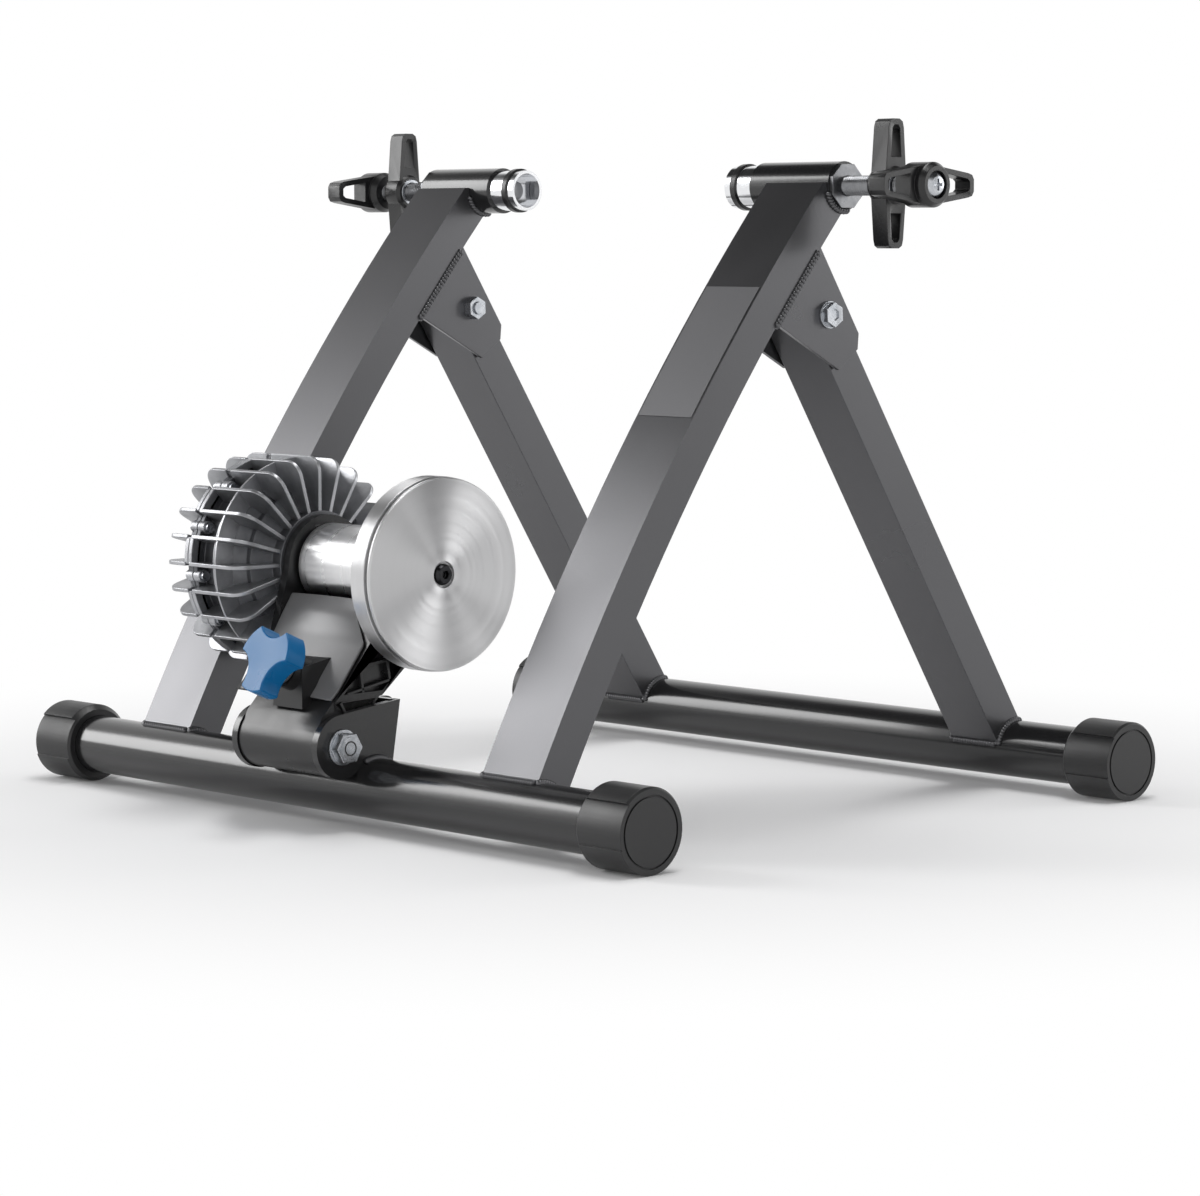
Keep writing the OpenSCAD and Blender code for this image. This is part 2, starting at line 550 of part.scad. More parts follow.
module barrel_nut() color("Silver") at_frame() difference() {
  union() {
    xcyl(screw_x - 14.2, nut_y, nut_z, 6, 28.4);
    xcyl(screw_x - 17.5, nut_y, nut_z, 4, 35);
  }
  translate([screw_x, nut_y, nut_z]) rotate([-90 - screw_tilt, 0, 0]) translate([0, 0, -10])
      cylinder(r = screw_d / 2 + run, h = 20);
}
module thrust_washer() color("Silver") at_screw() difference() {
  translate([0, 0, knob_t + gap]) cylinder(r = 11, h = washer_t);
  cylinder(r = screw_d / 2 + run, h = 30);
}
module tension_screw() color("Silver") at_screw() translate([0, 0, 3])
    cylinder(r = screw_d / 2, h = nut_t + 9);
module tension_knob() color("DodgerBlue") at_screw() difference() {
  cylinder(r = knob_r, h = knob_t);
  for (i = [0 : 2]) rotate([0, 0, 35.5 + i * 120]) translate([knob_r + 6.5, 0, -1])
      cylinder(r = 15.5, h = knob_t + 2);
  translate([0, 0, 3]) cylinder(r = screw_d / 2, h = knob_t);
}

front_tube();
upright_r();
upright_l();
sleeve_r();
sleeve_l();
sleeve_nut_r();
sleeve_nut_l();
hinge_bracket_r();
hinge_bracket_l();
hinge_bolt_r();
hinge_bolt_l();
hinge_nut_r();
hinge_nut_l();
base_bracket();
pivot_bolt();
pivot_nut();
rear_tube();
leg_r();
leg_l();
leg_bush_r();
leg_bush_l();
cap_front_r();
cap_front_l();
cap_rear_r();
cap_rear_l();
cup_r();
cup_ring_r();
rod_r();
handle_r();
handle_screw_r();
lock_insert_r();
lock_wing_r();
cup_l();
cup_ring_l();
rod_l();
handle_l();
handle_screw_l();
lock_insert_l();
lock_wing_l();
swing_arm();
arm_cover();
casing_inner();
casing_outer();
casing_screws();
bearing_outer();
bearing_inner();
arm_bearing();
shaft();
impeller();
roller();
flywheel();
flywheel_bolt();
barrel_nut();
thrust_washer();
tension_screw();
tension_knob();
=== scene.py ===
"""Looks of the folding bike trainer: finishes, soft edges, threads, welds, drum, arm, cover and studio."""

import json
import logging
import math
from dataclasses import dataclass, field
from enum import Enum
from typing import Dict, List, Sequence, Tuple

import bmesh
import bpy
from mathutils import Matrix, Vector


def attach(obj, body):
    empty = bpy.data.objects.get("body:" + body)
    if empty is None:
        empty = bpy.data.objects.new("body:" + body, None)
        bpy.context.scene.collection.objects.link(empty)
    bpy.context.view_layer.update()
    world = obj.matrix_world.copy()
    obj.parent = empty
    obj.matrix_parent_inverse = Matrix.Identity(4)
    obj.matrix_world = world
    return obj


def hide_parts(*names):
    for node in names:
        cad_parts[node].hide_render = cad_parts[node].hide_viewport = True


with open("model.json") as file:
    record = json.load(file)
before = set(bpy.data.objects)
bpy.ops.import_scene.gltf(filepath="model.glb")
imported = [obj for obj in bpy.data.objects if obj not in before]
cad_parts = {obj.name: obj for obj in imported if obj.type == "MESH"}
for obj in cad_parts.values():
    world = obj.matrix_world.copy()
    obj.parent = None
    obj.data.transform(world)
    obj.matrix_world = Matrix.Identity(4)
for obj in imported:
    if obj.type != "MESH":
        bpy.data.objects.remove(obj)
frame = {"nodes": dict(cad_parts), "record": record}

log = logging.getLogger("trainer")
MM = 0.001
# The front tube's axis lies this far along the frame's Y, in millimetres.
Y_SHIFT = -186.119
# Points closer than this are one, in metres: on a new mesh, and on a CAD node's loose triangles.
MERGE = 1e-6
CAD_MERGE = 2e-6
# The gloss of a clear coat, the smoothest gloss a pattern may reach and the band that holds most noise.
COAT_ROUGHNESS = 0.12
LEAST_ROUGHNESS = 0.02
NOISE_BAND = (0.3, 0.7)
Point = Tuple[float, float, float]
Outline = Sequence[Tuple[float, float]]
# A node's name, or the start of it, its bevel's width in millimetres and the bevel's steps.
Rounding = Tuple[str, float, int]


def row(x: float, y: float, z: float) -> Vector:
    """Turns millimetres over the front tube's axis into the frame's metres.

    Args:
        x: millimetres along the wheel axle.
        y: millimetres behind the front base tube's axis.
        z: millimetres above the floor.

    Returns:
        The point in the frame's own metres.
    """
    return Vector((x, y + Y_SHIFT, z)) * MM


class Side(Enum):
    """The two mirrored ends of the trainer."""

    RIGHT = ("r", 1.0)
    LEFT = ("l", -1.0)

    @property
    def tag(self) -> str:
        """The letter that ends this side's node names."""
        return self.value[0]

    @property
    def sign(self) -> float:
        """Plus one on the flywheel side, minus one on the drum side."""
        return self.value[1]


@dataclass(frozen=True)
class Bench:
    """Heights and depths that several pieces share, in millimetres over the front tube's axis."""

    tube_r: float = 18.0
    tube_z: float = 24.0
    stance: float = 411.0
    up_x: float = 161.0
    up_w: float = 47.0
    up_d: float = 24.0
    bend_r: float = 1653.0
    bend_y: float = 1467.98
    bend_z: float = -712.0
    clamp_y: float = 244.03
    clamp_z: float = 377.0
    sleeve_r: float = 14.7
    hinge_y: float = 231.55
    hinge_z: float = 300.7
    leg_w: float = 38.0
    leg_d: float = 25.0
    roller_y: float = 39.5
    roller_z: float = 148.7
    pivot_y: float = -25.517
    pivot_z: float = 50.516
    ear_x: float = 40.0
    knob_x: float = 3.5
    knob_y: float = -55.017
    knob_z: float = 102.816
    screw_tilt: float = 24.0

    @property
    def leg_angle(self) -> float:
        """How far the legs lean back from upright, in radians."""
        return math.atan2(self.stance - self.hinge_y, self.hinge_z - self.tube_z)

    def bend_point(self, x: float, radius: float, z: float) -> Vector:
        """A point on a curved face of an upright.

        Args:
            x: millimetres along the axle.
            radius: radius of the face about the bend's centre.
            z: height above the floor.

        Returns:
            The point in metres.
        """
        rise = z - self.bend_z
        return row(x, self.bend_y - math.sqrt(radius * radius - rise * rise), z)


BENCH = Bench()


def linear(colour: str, alpha: float = 1.0) -> Tuple[float, float, float, float]:
    """Turns an sRGB hex value into Blender's linear colour.

    Args:
        colour: six hex digits with a leading hash.
        alpha: opacity.

    Returns:
        Linear red, green, blue and alpha.
    """
    parts = [int(colour[i : i + 2], 16) / 255 for i in (1, 3, 5)]
    bent = [c / 12.92 if c <= 0.04045 else ((c + 0.055) / 1.055) ** 2.4 for c in parts]
    return bent[0], bent[1], bent[2], alpha


def add_node(tree: bpy.types.NodeTree, kind: str, settings: Dict, links: Dict) -> bpy.types.Node:
    """Adds one shader node.

    Args:
        tree: the node tree that takes it.
        kind: the node's type name.
        settings: node properties by name, and socket values by "in:" and the socket's name or number.
        links: input socket name or number to the output socket that feeds it.

    Returns:
        The new node.
    """
    node = tree.nodes.new(kind)
    for key, value in settings.items():
        if key.startswith("in:"):
            name = key[3:]
            node.inputs[int(name) if name.isdigit() else name].default_value = value
        else:
            setattr(node, key, value)
    for socket, source in links.items():
        tree.links.new(source, node.inputs[socket])
    return node


def blank_material(name: str) -> bpy.types.Material:
    """Makes a material that has no nodes yet.

    Args:
        name: the material's name.

    Returns:
        The material.
    """
    material = bpy.data.materials.new(name)
    material.use_nodes = True
    material.node_tree.nodes.clear()
    return material


def hang(mesh: bmesh.types.BMesh, name: str) -> bpy.types.Object:
    """Turns a bmesh into an object of the scene.

    Args:
        mesh: the shape; it is freed.
        name: the object's name.

    Returns:
        The new object.
    """
    data = bpy.data.meshes.new(name)
    mesh.to_mesh(data)
    mesh.free()
    piece = bpy.data.objects.new(name, data)
    bpy.context.scene.collection.objects.link(piece)
    return piece


def paint(piece: bpy.types.Object, material: bpy.types.Material) -> None:
    """Gives an object one material in place of any that it had."""
    piece.data.materials.clear()
    piece.data.materials.append(material)


@dataclass(frozen=True)
class Skin:
    """A material being made: its nodes, its surface shader and the piece's own coordinates."""

    tree: bpy.types.NodeTree
    shader: bpy.types.Node
    place: bpy.types.NodeSocket

    def feed(self, socket: str, source: bpy.types.NodeSocket) -> None:
        """Feeds one input of the surface shader."""
        self.tree.links.new(source, self.shader.inputs[socket])


@dataclass(frozen=True)
class Finish:
    """One surface finish, with values that start from the real material."""

    name: str
    colour: str
    metallic: float = 0.0
    roughness: float = 0.5
    ior: float = 1.5
    coat: float = 0.0

    def make(self) -> bpy.types.Material:
        """Builds the material and lets the finish add its pattern.

        Returns:
            The finished material.
        """
        material = blank_material(self.name)
        tree = material.node_tree
        shader = add_node(tree, "ShaderNodeBsdfPrincipled", {
            "in:Base Color": linear(self.colour), "in:Metallic": self.metallic,
            "in:Roughness": self.roughness, "in:IOR": self.ior, "in:Coat Weight": self.coat,
            "in:Coat Roughness": COAT_ROUGHNESS,
        }, {})
        add_node(tree, "ShaderNodeOutputMaterial", {}, {"Surface": shader.outputs[0]})
        place = add_node(tree, "ShaderNodeTexCoord", {}, {})
        self.dress(Skin(tree, shader, place.outputs["Object"]))
        material.diffuse_color = linear(self.colour)
        return material

    def dress(self, skin: Skin) -> None:
        """Adds the pattern, which each kind of finish below has its own of."""

    def vary_gloss(self, skin: Skin, pattern: bpy.types.NodeSocket, spread: float) -> None:
        """Moves the roughness with a pattern.

        Args:
            skin: the material being made.
            pattern: the pattern's output.
            spread: how far the roughness moves each way.
        """
        gloss = add_node(skin.tree, "ShaderNodeMapRange", {
            "in:From Min": NOISE_BAND[0], "in:From Max": NOISE_BAND[1],
            "in:To Min": max(self.roughness - spread, LEAST_ROUGHNESS), "in:To Max": self.roughness + spread,
        }, {"Value": pattern})
        skin.feed("Roughness", gloss.outputs[0])

    def press(self, skin: Skin, pattern: bpy.types.NodeSocket, depth: float) -> None:
        """Presses a pattern into the surface.

        Args:
            skin: the material being made.
            pattern: the pattern's output.
            depth: bump depth in metres.
        """
        bump = add_node(skin.tree, "ShaderNodeBump", {"in:Strength": 1.0, "in:Distance": depth},
                        {"Height": pattern})
        skin.feed("Normal", bump.outputs[0])

    def cloud_gloss(self, skin: Skin, size: float, spread: float) -> None:
        """Varies the roughness in soft clouds, as handling and uneven spray do.

        Args:
            skin: the material being made.
            size: cloud size in metres.
            spread: how far the roughness moves each way.
        """
        cloud = add_node(skin.tree, "ShaderNodeTexNoise",
                         {"in:Scale": 1 / size, "in:Detail": 3.0, "in:Roughness": 0.55},
                         {"Vector": skin.place})
        self.vary_gloss(skin, cloud.outputs["Fac"], spread)

    def grain(self, skin: Skin, size: float, depth: float, detail: float = 2.0) -> None:
        """Adds a fine bump.

        Args:
            skin: the material being made.
            size: grain size in metres.
            depth: bump depth in metres.
            detail: octaves of the noise.
        """
        noise = add_node(skin.tree, "ShaderNodeTexNoise",
                         {"in:Scale": 1 / size, "in:Detail": detail, "in:Roughness": 0.6},
                         {"Vector": skin.place})
        self.press(skin, noise.outputs["Fac"], depth)

    def mottle(self, skin: Skin, size: float, other: str) -> None:
        """Drifts the base colour towards a second tone.

        Args:
            skin: the material being made.
            size: patch size in metres.
            other: the second tone as sRGB hex.
        """
        noise = add_node(skin.tree, "ShaderNodeTexNoise",
                         {"in:Scale": 1 / size, "in:Detail": 4.0, "in:Roughness": 0.65},
                         {"Vector": skin.place})
        ramp = add_node(skin.tree, "ShaderNodeValToRGB", {}, {"Fac": noise.outputs["Fac"]})
        for stop, place, tone in zip(ramp.color_ramp.elements, (0.35, 0.65), (self.colour, other)):
            stop.position = place
            stop.color = linear(tone)
        skin.feed("Base Color", ramp.outputs[0])


@dataclass(frozen=True)
class Enamel(Finish):
    """Baked satin enamel on steel tube: a broad soft shine with a faint orange peel."""

    def dress(self, skin: Skin) -> None:
        """Adds orange peel about 2.5 mm across and soft clouds of gloss."""
        self.cloud_gloss(skin, 0.09, 0.03)
        self.grain(skin, 0.0025, 0.00002, 1.0)


@dataclass(frozen=True)
class Plated(Finish):
    """Electroplated zinc or drawn steel: bluish, slightly blotched and half bright."""

    other: str = "#a9adb2"

    def dress(self, skin: Skin) -> None:
        """Adds blotches about 6 mm across and a gloss that drifts over about 4 mm."""
        self.cloud_gloss(skin, 0.004, 0.07)
        self.mottle(skin, 0.006, self.other)


@dataclass(frozen=True)
class Moulded(Finish):
    """Injection-moulded plastic or rubber with a spark-eroded grain."""

    size: float = 0.0009
    depth: float = 0.00003

    def dress(self, skin: Skin) -> None:
        """Adds the mould's grain and a slow drift of gloss."""
        self.cloud_gloss(skin, 0.03, 0.05)
        self.grain(skin, self.size, self.depth)


@dataclass(frozen=True)
class Cast(Finish):
    """Die-cast aluminium: a frosted skin with faint flow marks."""

    other: str = "#6e7074"

    def dress(self, skin: Skin) -> None:
        """Adds a frosted grain of about a millimetre and flow marks of a few centimetres."""
        self.cloud_gloss(skin, 0.02, 0.06)
        self.mottle(skin, 0.03, self.other)
        self.grain(skin, 0.0011, 0.00006, 3.0)


@dataclass(frozen=True)
class Turned(Finish):
    """Lathe-turned metal: rings about an axis along X, which stretch each highlight across them."""

    centre_y: float = 0.0
    centre_z: float = 0.0
    pitch: float = 0.0007
    depth: float = 0.00001
    stretch: float = 0.6
    drift_pitches: float = 9.0
    drift: float = 0.05

    def dress(self, skin: Skin) -> None:
        """Adds rings drawn 0.5 to 1.2 mm apart, coarser than the real 0.2 mm feed, so that they show.

        Args:
            skin: the material being made.
        """
        moved = add_node(skin.tree, "ShaderNodeMapping",
                         {"vector_type": "POINT", "in:Location": (0, -self.centre_y, -self.centre_z)},
                         {"Vector": skin.place})
        parts = add_node(skin.tree, "ShaderNodeSeparateXYZ", {}, {0: moved.outputs[0]})
        flat = add_node(skin.tree, "ShaderNodeCombineXYZ", {},
                        {"Y": parts.outputs["Y"], "Z": parts.outputs["Z"]})
        reach = add_node(skin.tree, "ShaderNodeVectorMath", {"operation": "LENGTH"}, {0: flat.outputs[0]})
        along = add_node(skin.tree, "ShaderNodeMath", {"operation": "ADD"},
                         {0: reach.outputs["Value"], 1: parts.outputs["X"]})
        rings, slow = [add_node(skin.tree, "ShaderNodeTexNoise", {
            "noise_dimensions": "1D", "in:Scale": 1 / (pitches * self.pitch), "in:Detail": 2.0,
        }, {"W": along.outputs[0]}) for pitches in (1.0, self.drift_pitches)]
        self.press(skin, rings.outputs["Fac"], self.depth)
        self.vary_gloss(skin, slow.outputs["Fac"], self.drift)
        unit = add_node(skin.tree, "ShaderNodeVectorMath", {"operation": "NORMALIZE"}, {0: flat.outputs[0]})
        across = add_node(skin.tree, "ShaderNodeVectorMath", {"operation": "ADD", "in:1": (1, 0, 0)},
                          {0: unit.outputs[0]})
        skin.feed("Tangent", across.outputs[0])
        skin.shader.inputs["Anisotropic"].default_value = self.stretch


@dataclass(frozen=True)
class Slot:
    """A material slot of the record and the finish that dresses it."""

    slot: str
    finish: Finish


# Where the turned pieces' axes cross the frame's Y and Z, in metres.
CLAMP_AXIS = ((BENCH.clamp_y + Y_SHIFT) * MM, BENCH.clamp_z * MM)
ROLLER_AXIS = ((BENCH.roller_y + Y_SHIFT) * MM, BENCH.roller_z * MM)
SLOTS = (
    # Graphite metallic enamel on the uprights and legs: dark flake under a satin clear.
    Slot("frame_steel", Enamel("graphite_metallic_enamel", "#5e5e60", 0.85, 0.3)),
    # Zinc on bolts and nuts.
    Slot("zinc", Plated("zinc_plate", "#c2c4c8", 1.0, 0.28)),
    # Polished chrome on turned tube: dark and light bands with no grain of its own.
    Slot("cup_chrome", Turned("polished_chrome", "#e8e9eb", 1.0, 0.1, 1.5, 0.0,
                              *CLAMP_AXIS, 0.0012, 0.000001, 0.1)),
    # Black rubber feet: matt, with a faint bloom.
    Slot("cap_rubber", Moulded("black_rubber", "#1e1e1f", 0.0, 0.42, 1.52, 0.0, 0.0012, 0.00003)),
    # Glass-filled nylon in black, half glossy.
    Slot("black_plastic", Moulded("glass_filled_nylon", "#19191a", 0.0, 0.3, 1.53)),
    # Grey painted cover, smooth and satin.
    Slot("cover_grey", Enamel("grey_painted_cover", "#7c7c7d", 0.3, 0.36, 1.5, 0.0)),
    # Die-cast finned casing with a shot-blasted skin.
    Slot("cast_aluminium", Cast("die_cast_aluminium", "#b4b5b8", 0.85, 0.38, 1.5, 0.0, "#97989b")),
    # Turned roller: bright, with fine rings.
    Slot("turned_aluminium", Turned("turned_aluminium", "#e2e2e3", 1.0, 0.3, 1.5, 0.0,
                                    *ROLLER_AXIS, 0.0005, 0.0000012, 0.4)),
    # Faced flywheel: the turning marks throw light in wedges from the centre.
    Slot("turned_steel", Turned("faced_steel", "#dadadb", 1.0, 0.42, 1.5, 0.0,
                                *ROLLER_AXIS, 0.0005, 0.000001, 0.95)),
    # Ground bearing steel.
    Slot("bearing_steel", Plated("ground_bearing_steel", "#b9bcc1", 1.0, 0.24)),
    # Gloss ABS in mid blue.
    Slot("knob_blue", Moulded("blue_abs", "#0069a4", 0.0, 0.3, 1.4, 0.0, 0.002, 0.00001)),
    # Natural acetal bushes.
    Slot("bush_plastic", Moulded("natural_acetal", "#dcdcd6", 0.0, 0.4, 1.48)),
)
# Gloss black enamel on the two base tubes, the sleeves and the unit's bracket.
BLACK_ENAMEL = Enamel("gloss_black_enamel", "#1c1c1d", 0.0, 0.2, 1.5, 0.3)
# Bare drawn steel, greyer than zinc, on the clamp rods and sleeve nuts.
GREY_STEEL = Plated("drawn_grey_steel", "#8b8c8e", 1.0, 0.33, 1.5, 0.0, "#7c7d80")
# Black oxide on the flywheel's socket screw.
BLACK_OXIDE = Plated("black_oxide_steel", "#3a3a3c", 1.0, 0.3, 1.5, 0.0, "#2c2c2e")
# Bare film where the real sticker is.
LABEL_FILM = Enamel("blank_grey_film", "#707072", 0.45, 0.42, 1.5, 0.0)
# The drum's core between its fins is a darker cast grey than the fins: painted shade for the gaps between
# them.
CORE_PAINTED_SHADE = Cast("core_cast_painted_shade", "#6f7073", 0.85, 0.45, 1.5, 0.0, "#58595c")
ODD_FINISHES = (
    # The drum's cores take the darker finish, painted shade between the fins.
    (CORE_PAINTED_SHADE, ("casing_inner", "casing_outer")),
    (BLACK_ENAMEL, ("front_tube", "rear_tube", "sleeve_r", "sleeve_l", "base_bracket")),
    (GREY_STEEL, ("rod_r", "rod_l", "sleeve_nut_r", "sleeve_nut_l")),
    (BLACK_OXIDE, ("flywheel_bolt",)),
)


def lathe(mesh: bmesh.types.BMesh, outline: Outline, steps: int = 96) -> None:
    """Spins a closed outline once round the X axis.

    Args:
        mesh: the mesh that takes the ring.
        outline: (station, radius) pairs in millimetres.
        steps: segments of a full turn.
    """
    ring = [mesh.verts.new(Vector((x, 0, r)) * MM) for x, r in outline]
    edges = [mesh.edges.new(pair) for pair in zip(ring, ring[1:] + ring[:1])]
    bmesh.ops.spin(mesh, geom=ring + edges, cent=(0, 0, 0), axis=(1, 0, 0), angle=math.tau, steps=steps,
                   use_merge=True)
    bmesh.ops.remove_doubles(mesh, verts=mesh.verts, dist=MERGE)
    bmesh.ops.dissolve_degenerate(mesh, edges=mesh.edges, dist=MERGE)


def prism(mesh: bmesh.types.BMesh, outline: Outline, thick: float, place: Matrix) -> None:
    """Pulls a flat outline into a slab along its own Z.

    Args:
        mesh: the mesh that takes the slab.
        outline: (x, y) pairs in millimetres.
        thick: the slab's thickness in millimetres.
        place: where the slab's own axes go, in metres.
    """
    corners = [mesh.verts.new(Vector((x, y, 0)) * MM) for x, y in outline]
    face = mesh.faces.new(corners)
    pulled = bmesh.ops.extrude_face_region(mesh, geom=[face], use_keep_orig=True)
    far = [item for item in pulled["geom"] if isinstance(item, bmesh.types.BMVert)]
    bmesh.ops.translate(mesh, verts=far, vec=Vector((0, 0, thick)) * MM)
    bmesh.ops.transform(mesh, verts=corners + far, matrix=place)


def bar(mesh: bmesh.types.BMesh, middle: Point, radii: Tuple[float, float], length: float,
        steps: int) -> None:
    """Adds a closed round bar that lies along X.

    Args:
        mesh: the mesh that takes the bar.
        middle: the bar's middle in millimetres.
        radii: radius at its low and its high end.
        length: the bar's length in millimetres.
        steps: sides of the bar.
    """
    place = Matrix.Translation(Vector(middle) * MM) @ Matrix.Rotation(math.pi / 2, 4, "Y")
    bmesh.ops.create_cone(mesh, cap_ends=True, cap_tris=False, segments=steps, radius1=radii[0] * MM,
                          radius2=radii[1] * MM, depth=length * MM, matrix=place)


def shift(mesh: bmesh.types.BMesh, y: float, z: float) -> None:
    """Moves a mesh made about the X axis to an axis y behind the front tube's and z above the floor."""
    bmesh.ops.translate(mesh, verts=mesh.verts, vec=row(0, y, z))


def carve(base: bmesh.types.BMesh, tool: bmesh.types.BMesh) -> bmesh.types.BMesh:
    """Cuts one shape out of another.

    Args:
        base: the shape that stays; it is freed.
        tool: the shape that is taken away; it is freed.

    Returns:
        What is left of the base.
    """
    scraps = []
    for mesh in (base, tool):
        bmesh.ops.recalc_face_normals(mesh, faces=mesh.faces)
        scraps.append(hang(mesh, "scrap"))
    step = scraps[0].modifiers.new("cut", "BOOLEAN")
    step.operation, step.solver, step.object = "DIFFERENCE", "EXACT", scraps[1]
    result = bmesh.new()
    result.from_object(scraps[0], bpy.context.evaluated_depsgraph_get())
    for scrap in scraps:
        bpy.data.meshes.remove(scrap.data)
    return result


# A slab drawn as (y, z) and pulled along +X, and one drawn as (x, radius) and pulled round the axle.
ACROSS = Matrix(((0, 0, 1, 0), (1, 0, 0, 0), (0, 1, 0, 0), (0, 0, 0, 1)))
AROUND = Matrix(((1, 0, 0, 0), (0, 0, -1, 0), (0, 1, 0, 0), (0, 0, 0, 1)))


class Wardrobe:
    """Makes each finish once and hands it out by slot."""

    def __init__(self) -> None:
        """Builds the finishes and reads each node's slot and body."""
        self.finishes = {entry.slot: entry.finish.make() for entry in SLOTS}
        self.slot_of = {s["node"]: s["material_slot"] for s in frame["record"]["subparts"]}
        self.odd: Dict[str, bpy.types.Material] = {}
        for finish, nodes in ODD_FINISHES:
            self.odd.update(dict.fromkeys(nodes, finish.make()))
        self.body_of = {n: b for b, ns in frame["record"]["behaviour"]["bodies"].items() for n in ns}

    def dress_node(self, piece: bpy.types.Object, node: str) -> None:
        """Gives an object the finish of a frame node, which may differ from its slot's."""
        paint(piece, self.odd.get(node, self.finishes[self.slot_of[node]]))

    def add(self, mesh: bmesh.types.BMesh, name: str, body: str, slot: str,
            replaced: Sequence[str] = (), smooth: float = 35.0) -> bpy.types.Object:
        """Turns a bmesh into a finished piece that rides on a body.

        Args:
            mesh: the shape in the frame's metres; it is freed.
            name: the piece's name.
            body: the body that carries it.
            slot: the material slot that it is dressed from.
            replaced: frame nodes that it stands for.
            smooth: largest angle between faces that still shade as one, in degrees.

        Returns:
            The new object.
        """
        bmesh.ops.recalc_face_normals(mesh, faces=mesh.faces)
        for face in mesh.faces:
            face.smooth = True
        for edge in mesh.edges:
            edge.smooth = len(edge.link_faces) == 2 and edge.calc_face_angle(0.0) < math.radians(smooth)
        piece = hang(mesh, name)
        paint(piece, self.finishes[slot])
        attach(piece, body)
        if replaced:
            self.dress_node(piece, replaced[0])
            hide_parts(*replaced)
        log.info("%s: %d faces on %s", name, len(piece.data.polygons), body)
        return piece


@dataclass
class EdgeRounder:
    """Rounds edges as a casting, moulding or drawn tube has them, also on a joined copy of a frame node."""

    wardrobe: Wardrobe
    flat_turn: float = 0.6
    least_turn: float = 28.0

    def join(self, node: str) -> bmesh.types.BMesh:
        """Copies a frame node's loose triangles and merges their corners."""
        mesh = bmesh.new()
        mesh.from_mesh(frame["nodes"][node].data)
        bmesh.ops.remove_doubles(mesh, verts=mesh.verts, dist=CAD_MERGE)
        return mesh

    def flatten(self, mesh: bmesh.types.BMesh) -> None:
        """Joins the triangles that lie in one plane."""
        bmesh.ops.dissolve_limit(mesh, angle_limit=math.radians(self.flat_turn), verts=mesh.verts,
                                 edges=mesh.edges, delimit={"NORMAL"})

    def round_nodes(self, rows: Sequence[Rounding], tag: str = "") -> None:
        """Replaces frame nodes by copies with rounded edges.

        Args:
            rows: the nodes with their bevels.
            tag: the letter that ends each node's name, where it has one.
        """
        for start, width, steps in rows:
            node = start + tag
            mesh = self.join(node)
            self.flatten(mesh)
            piece = self.wardrobe.add(mesh, node + "_rounded", self.wardrobe.body_of[node],
                                      self.wardrobe.slot_of[node], (node,), 40.0)
            self.soften(piece, width, steps)

    def soften(self, piece: bpy.types.Object, width: float, steps: int) -> None:
        """Rounds the edges of a piece.

        Args:
            piece: the object.
            width: bevel width in millimetres.
            steps: segments of the bevel.
        """
        bevel = piece.modifiers.new("round", "BEVEL")
        bevel.width = width * MM
        bevel.segments = steps
        bevel.limit_method = "ANGLE"
        bevel.angle_limit = math.radians(self.least_turn)
        bevel.use_clamp_overlap = True
        bevel.harden_normals = True
        bevel.miter_outer = "MITER_ARC"


@dataclass
class ThreadedRod:
    """A rod with a real screw thread, made by spinning one saw-tooth line along a helix."""

    radius: float
    pitch: float
    depth: float
    crest: Tuple[float, float] = (0.38, 0.52)
    turn_steps: int = 28
    plug: float = 2.2
    plug_in: float = 0.4
    tail_steps: int = 32

    def build(self, start: float, end: float, tail: Outline = ()) -> bmesh.types.BMesh:
        """Makes the rod along +X with the thread between two stations.

        Args:
            start: where the thread starts, in millimetres along the rod.
            end: where it ends.
            tail: (station, radius) pairs of a plain turned stretch that ends at start.

        Returns:
            The mesh in metres, about the X axis.
        """
        mesh = bmesh.new()
        teeth = int(round((end - start) / self.pitch))
        root = self.radius - self.depth
        line: List[bmesh.types.BMVert] = []
        for k in range(teeth + 1):
            base = start + k * self.pitch
            line.append(mesh.verts.new(Vector((base, 0, root)) * MM))
            if k < teeth:
                line += [mesh.verts.new(Vector((base + part * self.pitch, 0, self.radius)) * MM)
                         for part in self.crest]
        edges = [mesh.edges.new(pair) for pair in zip(line, line[1:])]
        bmesh.ops.spin(mesh, geom=edges + line, cent=(0, 0, 0), axis=(1, 0, 0), angle=math.tau,
                       dvec=(self.pitch * MM / self.turn_steps, 0, 0), steps=self.turn_steps, use_merge=False)
        bmesh.ops.remove_doubles(mesh, verts=mesh.verts, dist=MERGE)
        for station, inward in ((start, self.plug_in), (end + self.pitch, -self.plug_in)):
            spot = (station + inward * self.pitch, 0, 0)
            bar(mesh, spot, (root, root), self.plug * self.pitch, self.turn_steps)
        for (a, ra), (b, rb) in zip(tail, tail[1:]):
            bar(mesh, ((a + b) / 2, 0, 0), (ra, rb), b - a, self.tail_steps)
        return mesh


@dataclass
class WeldRun:
    """A row of overlapping solidified puddles, as a short arc weld leaves, in millimetres."""

    size: float = 2.5
    step: float = 2.1
    lean: float = 0.5
    flat: float = 0.62
    smooth: float = 60.0

    def run(self, mesh: bmesh.types.BMesh, path: Sequence[Vector]) -> None:
        """Adds one run of puddles to a mesh.

        Args:
            mesh: the mesh that takes them.
            path: points in metres.
        """
        shape = Matrix.Rotation(self.lean, 4, "X") @ Matrix.Diagonal((1.0, 1.0, self.flat, 1.0))
        for start, end in zip(path, path[1:]):
            span = end - start
            if span.length < MERGE:
                continue
            count = max(int(round(span.length / (self.step * MM))), 1)
            turn = span.normalized().to_track_quat("Z", "Y").to_matrix().to_4x4()
            for i in range(count):
                spot = Matrix.Translation(start + span * ((i + 0.5) / count))
                bmesh.ops.create_uvsphere(mesh, u_segments=10, v_segments=6, radius=self.size * MM,
                                          matrix=spot @ turn @ shape)


